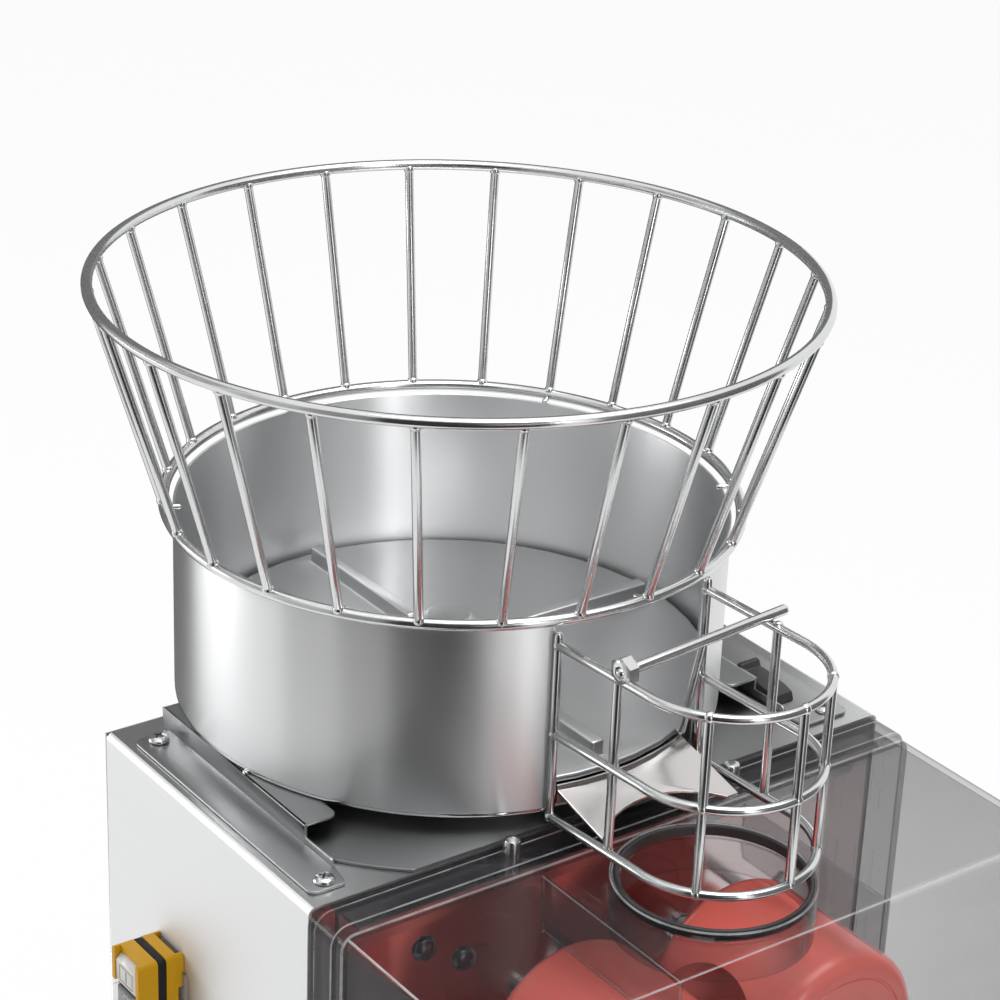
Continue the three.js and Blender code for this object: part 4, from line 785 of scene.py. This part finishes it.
form = bmesh.new()
flange_back, flange_root, flange_rim, flange_bevel = -140.3, 2.2, 7.5, 0.4
furrow_back, furrow_front, step_back, step_rim = -146.2, -148.0, -161.0, 5.5
flange_profile = [
    (flange_back, flange_root), (flange_back, flange_rim - flange_bevel),
    (flange_back - flange_bevel, flange_rim), (furrow_back, flange_rim),
    (furrow_back - flange_bevel, flange_rim - flange_bevel),
    (furrow_front + flange_bevel, flange_rim - flange_bevel), (furrow_front, flange_rim),
    (step_back, flange_rim), (step_back - 0.6, flange_rim - 0.6), (step_back - 0.7, step_rim),
    (flange_front + 1.1, step_rim), (flange_front + 0.1, step_rim - 1), (flange_front, flange_root),
]
flange_sweep(form, flange_profile, cover_half - cover_wall, cover_top - overrun, cover_bottom)
painted_highlight_rims(piece("cover_flange", form, smoke_edge, "cover", crease=25), sideways=True)
form = bmesh.new()
collar_inside, collar_outside, collar_low, collar_top = 50.6, 52.5, -27, 1.0
seat_inside, seat_top, seat_low = 48.4, -5.0, -7.0
collar = [
    (collar_inside, collar_low), (collar_outside, collar_low), (collar_outside, collar_top - 0.8),
    (collar_outside - 0.8, collar_top), (collar_inside + 0.7, collar_top), (collar_inside, collar_top - 0.7),
    (collar_inside, seat_top), (seat_inside, seat_top), (seat_inside - 0.3, seat_top - 0.6),
    (seat_inside, seat_low), (collar_inside, seat_low),
]
turned(form, collar, 0, inlet_y, 120)
painted_highlight_rims(piece("inlet_collar", form, smoke, "cover", crease=25), 30, 0.000012)
rib_x, rib_half, rib_low, rib_gap = 66, 1, -37.5, 0.5
rib_front, rib_back, rib_top = cover_front + cover_wall, flange_front - rib_gap, cover_top - cover_wall - 0.1
rib = [(rib_front, rib_top), (rib_back, rib_top), (rib_back, rib_low + 7.5), (rib_back - 2.5, rib_low),
       (rib_front, rib_low)]
form = bmesh.new()
for x in (-rib_x, rib_x):
    prism(form, rib, "X", x - rib_half, x + rib_half)
painted_highlight_rims(piece("cover_ribs", form, smoke, "cover", soften=0.5, soften_steps=1))


# Inlet seal: a moulded black rubber ring with a soft rounded lip, pressed into the collar of the cover
# from above.
seal_rubber = moulded("seal_rubber", (0.014, 0.014, 0.015), (0.028, 0.028, 0.03), 0.45)
seal_inside, seal_outside, seal_low, lip_z, seal_lip = 47.8, 50.3, -4.4, 0.2, 1.2
form = bmesh.new()
seal = [(seal_inside, seal_low), (seal_outside, seal_low), (seal_outside, lip_z),
        *arc((seal_inside + seal_outside) / 2, lip_z, seal_lip, 0, 180, 8), (seal_inside, 0)]
turned(form, seal, 0, inlet_y, 120)
piece("inlet_gasket", form, seal_rubber, "cover", ["inlet_seal"])


# Press drums: coral-red moulded drums on steel shafts. Each upper one has a cup in both sides and each
# lower one two ribbed balls on a hub. Their faces have rounded rims and shallow turned rings.
press_red, tone, shader = coat_of("press_red", 0.3, 0.0, Coat_Weight=0.35, Coat_Roughness=0.15)
blush = tone.noise(16.0, 3.0)
blush.mixed((0.84, 0.15, 0.12), (0.90, 0.19, 0.155)).into(shader, "Base Color")
uneven_sheen(shader, 0.31, (tone.noise(700.0, 2.0), 0.08), (blush, 0.1))
press_half, lobe_radius, lobe_round, cup_radius, gear_radius = 47.0, 52.0, 9.0, 37.0, 54.0
shaft_hole, groove_deep, groove_wide, groove_slope = 8.4, 0.7, 2.0, 0.5
drum_half = arc(lobe_radius - lobe_round, press_half - lobe_round, lobe_round, 0, 90, 8)
groove_floor = press_half - groove_deep
for groove in (40.5, 27.5):
    groove_end = groove - groove_wide
    drum_half += [(groove, press_half), (groove - groove_slope, groove_floor),
                  (groove_end + groove_slope, groove_floor), (groove_end, press_half)]
drum_half.append((shaft_hole, press_half))
for side in ("left", "right"):
    middle = middle_of("press_drum_cup_" + side)
    form = bmesh.new()
    turned(form, both_ends(drum_half), 0, 0, 128)
    lying(form, middle.x, inlet_y, middle.z)
    cups = [bmesh.new(), bmesh.new()]
    for cup, x in zip(cups, (-gear_radius, gear_radius)):
        ball(cup, (x, 0, 0), cup_radius, 32, 64)
        lying(cup, middle.x, inlet_y, middle.z)
    hollowed("cup_drum_" + side, form, cups, press_red, "cup_" + side,
             ["press_drum_cup_" + side])
ball_names = ("ball_left", "ball_right")
for name in ball_names:
    eased("ball_drum_" + name, "press_drum_" + name, press_red, name, 0.0, crease=40)
press_names = ("cup_left", "cup_right", *ball_names)
gear_steel = brushed("gear_steel", (0.40, 0.40, 0.41), 0.36, (900, 900, 900))
paint_node(["press_shaft_" + n for n in press_names], screw_steel)
paint_node(["knife"], brushed("blade_steel", (0.60, 0.60, 0.605), 0.24, along_x))
paint_node(["peel_ejector_left", "peel_ejector_right"], ledge_steel)
paint_node(["drive_gear_" + n for n in press_names] + ["motor_pinion"], gear_steel)
paint_node(["gear_frame"], brushed("frame_steel", (0.30, 0.305, 0.31), 0.4, (6, 900, 900)))


# Juice path: a slotted stainless filter tray over a clear smoke tank on a folded shelf, with a polished
# tap whose black lever turns on its stem.
tray_steel = brushed("tray_steel", (0.6, 0.605, 0.61), 0.26, along_x)
eased("slotted_filter", "filter_tray", tray_steel, "filter", 0.3)
eased("slotted_drip_tray", "drip_tray", tray_steel, "drip", 0.4)
eased("folded_shelf", "tank_shelf", rear_steel, "machine", 0.3)
eased("clear_tank", "juice_tank", smoke, "tank", 0.8, 3)
eased("polished_tap", "juice_tap", screw_steel, "tank", 0.4)
eased("black_lever", "tap_lever", black_plastic, "tap_handle", 0.8, 3)


# Peel bins: two grey moulded bins that taper down and stand on the base at either side of the tank,
# with a lip to pull them out by.
bin_grey = moulded("bin_grey", (0.10, 0.105, 0.11), (0.13, 0.135, 0.14), 0.4)
for side in ("left", "right"):
    eased("grey_bin_" + side, "peel_bin_" + side, bin_grey, "bin_" + side, 0.8, 3)


# Side switch: a yellow moulded body on a clear plate, split by a black seal. Tabs of its rear reach the
# cabinet through the plate. Its front is a hood with a white rocker marked I over a dark one marked O.
switch_yellow = moulded("switch_yellow", (0.40, 0.198, 0.002), (0.52, 0.28, 0.004), 0.34,
                        Specular_IOR_Level=0.2)
band_rubber = moulded("band_rubber", (0.008, 0.008, 0.009), (0.014, 0.014, 0.016), 0.6,
                      Specular_IOR_Level=0.2)
rocker_white = moulded("rocker_white", (0.42, 0.41, 0.38), (0.52, 0.51, 0.48), 0.16)
rocker_grey = moulded("rocker_grey", (0.028, 0.029, 0.031), (0.045, 0.046, 0.049), 0.4)
mark_grey = moulded("mark_grey", (0.16, 0.16, 0.16), (0.22, 0.22, 0.22), 0.4)
clear_boot = clear_smoke("clear_boot", (0.72, 0.72, 0.73), 0.03, 0.38, 0.06)
eased("switch_band", "switch_seal", band_rubber, "machine")
low, high = box_in_mm("switch_rear_body")
cheek, slab_round, room = 3.0, 2.4, 5.0
slot_front, past_plate, tab_end, tab_drop, tab_gap, tab_slack = -190.0, -180.0, -186.75, 20.0, 0.2, 0.3
inner_y = (low.y + cheek, high.y - cheek)


def switch_slab(x):
    """The switch's rounded outline drawn out between two x values."""
    form = bmesh.new()
    outline = [(low.y, low.z), (high.y, low.z), (high.y, high.z), (low.y, high.z)]
    prism(form, cornered(outline, [slab_round] * 4), "X", *x)
    return form


slot_z = (high.z - tab_drop - tab_slack, high.z + room)
slots = [box_shape(bmesh.new(), (slot_front, past_plate), y, slot_z)
         for y in ((low.y - tab_slack, inner_y[0] + tab_gap), (inner_y[1] - tab_gap, high.y + tab_slack))]
plate_low, plate_high = box_in_mm("switch_back_plate")
ear_y, shoulder = (-13.0, 7.0), -105.5
form = bmesh.new()
prism(form, cornered([
    (plate_low.y, plate_low.z), (plate_high.y, plate_low.z), (plate_high.y, shoulder), (ear_y[1], shoulder),
    (ear_y[1], plate_high.z), (ear_y[0], plate_high.z), (ear_y[0], shoulder), (plate_low.y, shoulder),
], [3, 3, 3, 0, 2, 2, 0, 3]), "X", plate_low.x, plate_high.x)
made = hollowed("clear_back_plate", form, slots, clear_boot, "machine", ["switch_back_plate"])
two_toned(made, smoke_edge, lambda way: abs(way.x) < 0.5)
between_front, below_front = slot_front - 0.3, slot_front - 0.15
between_tabs = box_shape(bmesh.new(), (between_front, past_plate), inner_y, (low.z - room, high.z + room))
below_tabs = box_shape(bmesh.new(), (below_front, past_plate), (low.y - room, high.y + room),
                       (low.z - room, high.z - tab_drop))
hollowed("yellow_rear", switch_slab((low.x, tab_end)), [between_tabs, below_tabs], switch_yellow, "machine",
         ["switch_rear_body"])
low, high = box_in_mm("switch_front_body")
wall_front, wall_drop, cheek_drop = low.x + 3.7, 25.0, 20.5
hood_back, hood_roof, cavity_drop = 2.4, 3.4, 37.3
above_wall = box_shape(bmesh.new(), (low.x - room, wall_front), inner_y, (high.z - wall_drop, high.z + room))
below_cheeks = box_shape(bmesh.new(), (low.x - room, wall_front), (low.y - room, high.y + room),
                         (low.z - room, high.z - cheek_drop))
cavity = box_shape(bmesh.new(), (low.x - room, high.x - hood_back), inner_y,
                   (high.z - cavity_drop, high.z - hood_roof))
hollowed("yellow_hood", switch_slab((low.x, high.x)), [above_wall, below_cheeks, cavity], switch_yellow,
         "machine", ["switch_front_body"])
key_gap = 0.4
key_y = (inner_y[0] + key_gap, inner_y[1] - key_gap)
middle_y = (key_y[0] + key_y[1]) / 2

key_low, key_high = box_in_mm("switch_button_on")
face, key_top, key_slope = key_low.x - 0.2, key_high.z + 0.3, 3.0
form = bmesh.new()
prism(form, [
    (key_high.x, key_low.z), (key_high.x, key_top), (wall_front + 0.6, key_top),
    (face, key_high.z - key_slope), (face, key_low.z),
], "Y", *key_y)
piece("white_rocker", form, rocker_white, "button_on", ["switch_button_on"], soften=0.5,
      soften_steps=3)
frame_half_y, frame_half_z, mark_line, mark_half_z, mark_drop = 7.0, 4.8, 0.4, 3.4, 1.4
middle_z = (key_low.z + key_high.z) / 2 - mark_drop
mark_x, clear_x = (face - 0.15, face + 0.2), (face - 1, face + 1)


def face_box(x, half_y, half_z):
    """A box about the middle of the white rocker's face, from its half width and half height."""
    return box_shape(bmesh.new(), x, (middle_y - half_y, middle_y + half_y),
                     (middle_z - half_z, middle_z + half_z))


frame_hole = face_box(clear_x, frame_half_y - mark_line, frame_half_z - mark_line)
hollowed("white_rocker_frame", face_box(mark_x, frame_half_y, frame_half_z), [frame_hole], mark_grey,
         "button_on")
piece("white_rocker_mark", face_box(mark_x, mark_line, mark_half_z), mark_grey, "button_on")

key_low, key_high = box_in_mm("switch_button_off")
boot_wall, key_inset, key_front, boot_round = 0.9, 1.3, key_low.x + 2.2, 2.5
form = bmesh.new()
boot_outline = [(key_y[0], key_low.z), (key_y[1], key_low.z), (key_y[1], key_high.z), (key_y[0], key_high.z)]
prism(form, cornered(boot_outline, [boot_round] * 4), "X", key_low.x, key_high.x)
hollow = box_shape(bmesh.new(), (key_low.x + boot_wall, key_high.x + room),
                   (key_y[0] + boot_wall, key_y[1] - boot_wall),
                   (key_low.z + boot_wall, key_high.z - boot_wall))
painted_highlight_rims(hollowed("clear_boot", form, [hollow], clear_boot, "button_off"), 20, 0.00002)
form = box_shape(bmesh.new(), (key_front, key_high.x), (key_y[0] + key_inset, key_y[1] - key_inset),
                 (key_low.z + key_inset, key_high.z - key_inset))
piece("dark_rocker", form, rocker_grey, "button_off", ["switch_button_off"], soften=0.8,
      soften_steps=3)
ring_inside, ring_outside, ring_sunk, ring_high = 3.2, 4.1, -0.12, 0.3
form = bmesh.new()
turned(form, [(ring_inside, ring_sunk), (ring_outside, ring_sunk), (ring_outside, ring_high),
              (ring_inside, ring_high)], 0, 0, 40)
place = Matrix.Translation((key_front, middle_y, (key_low.z + key_high.z) / 2))
form.transform(place @ Matrix.Rotation(math.radians(90), 4, "Y"))
piece("dark_rocker_mark", form, mark_grey, "button_off")


# Studio: a plain pale floor and soft lamps. Dark and grey boards stand round the machine out of the
# picture, as they do for photographs of polished metal, and only reflections see them.
def rays_seen(tone):
    """One for light that is seen straight, in a reflection or through clear plastic, and else zero."""
    straight, mirrored, through = (tone.node("LightPath", out="Is " + kind + " Ray")
                                   for kind in ("Camera", "Glossy", "Transmission"))
    return straight + mirrored + through


def studio_floor_paint(name, colour, glow):
    """Matt white that the picture and every reflection see a little brighter, with its shadows kept."""
    material, tone, shader = coat_of(name, 0.9, 0.0)
    shader.inputs["Base Color"].default_value = (*colour, 1)
    white = tone.node("Emission", {}, {"Color": (1, 1, 1, 1), "Strength": 1.0})
    matt = Tone(tone.tree, shader.outputs[0])
    both = tone.node("MixShader", {}, {0: rays_seen(tone) * glow, 1: matt, 2: white})
    both.into(tone.tree.nodes["Material Output"], "Surface")
    return material


def staged(name, corners, paint):
    """A flat studio piece from its corners in metres."""
    form = bmesh.new()
    form.faces.new([form.verts.new(corner) for corner in corners])
    mesh = bpy.data.meshes.new(name)
    form.to_mesh(mesh)
    form.free()
    mesh.materials.append(paint)
    made = bpy.data.objects.new(name, mesh)
    bpy.context.scene.collection.objects.link(made)
    return made


floor_half = 14
floor_corners = [(x * floor_half, y * floor_half, 0) for x, y in ((-1, -1), (1, -1), (1, 1), (-1, 1))]
staged("studio_floor", floor_corners, studio_floor_paint("floor_white", (0.85, 0.85, 0.85), 0.9))
for name, first, last, reach, low, high, shade in (
    ("board_behind_camera", -149, -99, 0.95, 0, 1.5, 0.015),
    ("board_left", -192, -169, 1.05, 0, 1.3, 0.60),
    ("board_near_left", -169, -149, 0.98, 0, 1.4, 0.36),
    ("board_back", 34, 118, 0.95, 0, 1.5, 0.18),
    ("board_back_high", 108, 165, 1.1, 0.78, 1.8, 0.30),
    ("board_right", -88, -22, 1.0, 0.13, 1.3, 0.16),
):
    board_paint, tone, shader = coat_of(name, 0.9, 0.0)
    tone.noise(3.0).mixed((shade * 0.9,) * 3, (shade,) * 3).into(shader, "Base Color")
    ends = [(reach * math.cos(math.radians(a)), reach * math.sin(math.radians(a))) for a in (first, last)]
    board = staged(name, [(*ends[0], low), (*ends[1], low), (*ends[1], high), (*ends[0], high)], board_paint)
    board.visible_camera = False
    board.visible_diffuse = False
    board.visible_shadow = False
    board.visible_transmission = False


def lamp(name, place, target, size, watts):
    """A soft rectangular lamp that faces a target, all in metres and watts."""
    light = bpy.data.lights.new(name, "AREA")
    light.shape = "RECTANGLE"
    light.size, light.size_y = size
    light.energy = watts
    made = bpy.data.objects.new(name, light)
    made.location = place
    made.rotation_euler = (Vector(target) - Vector(place)).to_track_quat("-Z", "Y").to_euler()
    bpy.context.scene.collection.objects.link(made)


lamp("left_window", (-1.8, 1.9, 1.5), (0, 0, 0.5), (1.2, 1.8), 38)
lamp("top_soft", (0.2, -0.5, 2.6), (0, 0, 0.5), (1.6, 1.6), 30)
lamp("front_fill", (-0.6, -2.6, 1.3), (0, 0, 0.4), (0.7, 1.2), 14)

world = bpy.data.worlds.new("studio")
bpy.context.scene.world = world
world.use_nodes = True
world_light = 0.62
background = world.node_tree.nodes["Background"]
background.inputs["Color"].default_value = (1, 1, 1, 1)
(rays_seen(Tone(world.node_tree)) * (1 - world_light) + world_light).into(background, "Strength")

azimuth, elevation, roll = (math.radians(a) for a in (36.5967, 24.5395, 2.3405))
camera_from_home, camera_lens, film_width = (-811.3, -1123.4, 753.4), 101.58, 36.0
flat = math.cos(elevation)
back = Vector((-math.sin(azimuth) * flat, -math.cos(azimuth) * flat, math.sin(elevation)))
level = Vector((math.cos(azimuth), -math.sin(azimuth), 0))
over = back.cross(level)
right = math.cos(roll) * level + math.sin(roll) * over
up = -math.sin(roll) * level + math.cos(roll) * over
camera_data = bpy.data.cameras.new("camera")
camera_data.sensor_width = film_width
camera_data.lens = camera_lens
camera = bpy.data.objects.new("camera", camera_data)
camera_turn = Matrix((right, up, back)).transposed().to_4x4()
camera.matrix_world = Matrix.Translation(home + MM * Vector(camera_from_home)) @ camera_turn
bpy.context.scene.collection.objects.link(camera)
bpy.context.scene.camera = camera
bpy.context.scene.view_settings.view_transform = "Standard"

bpy.context.view_layer.update()
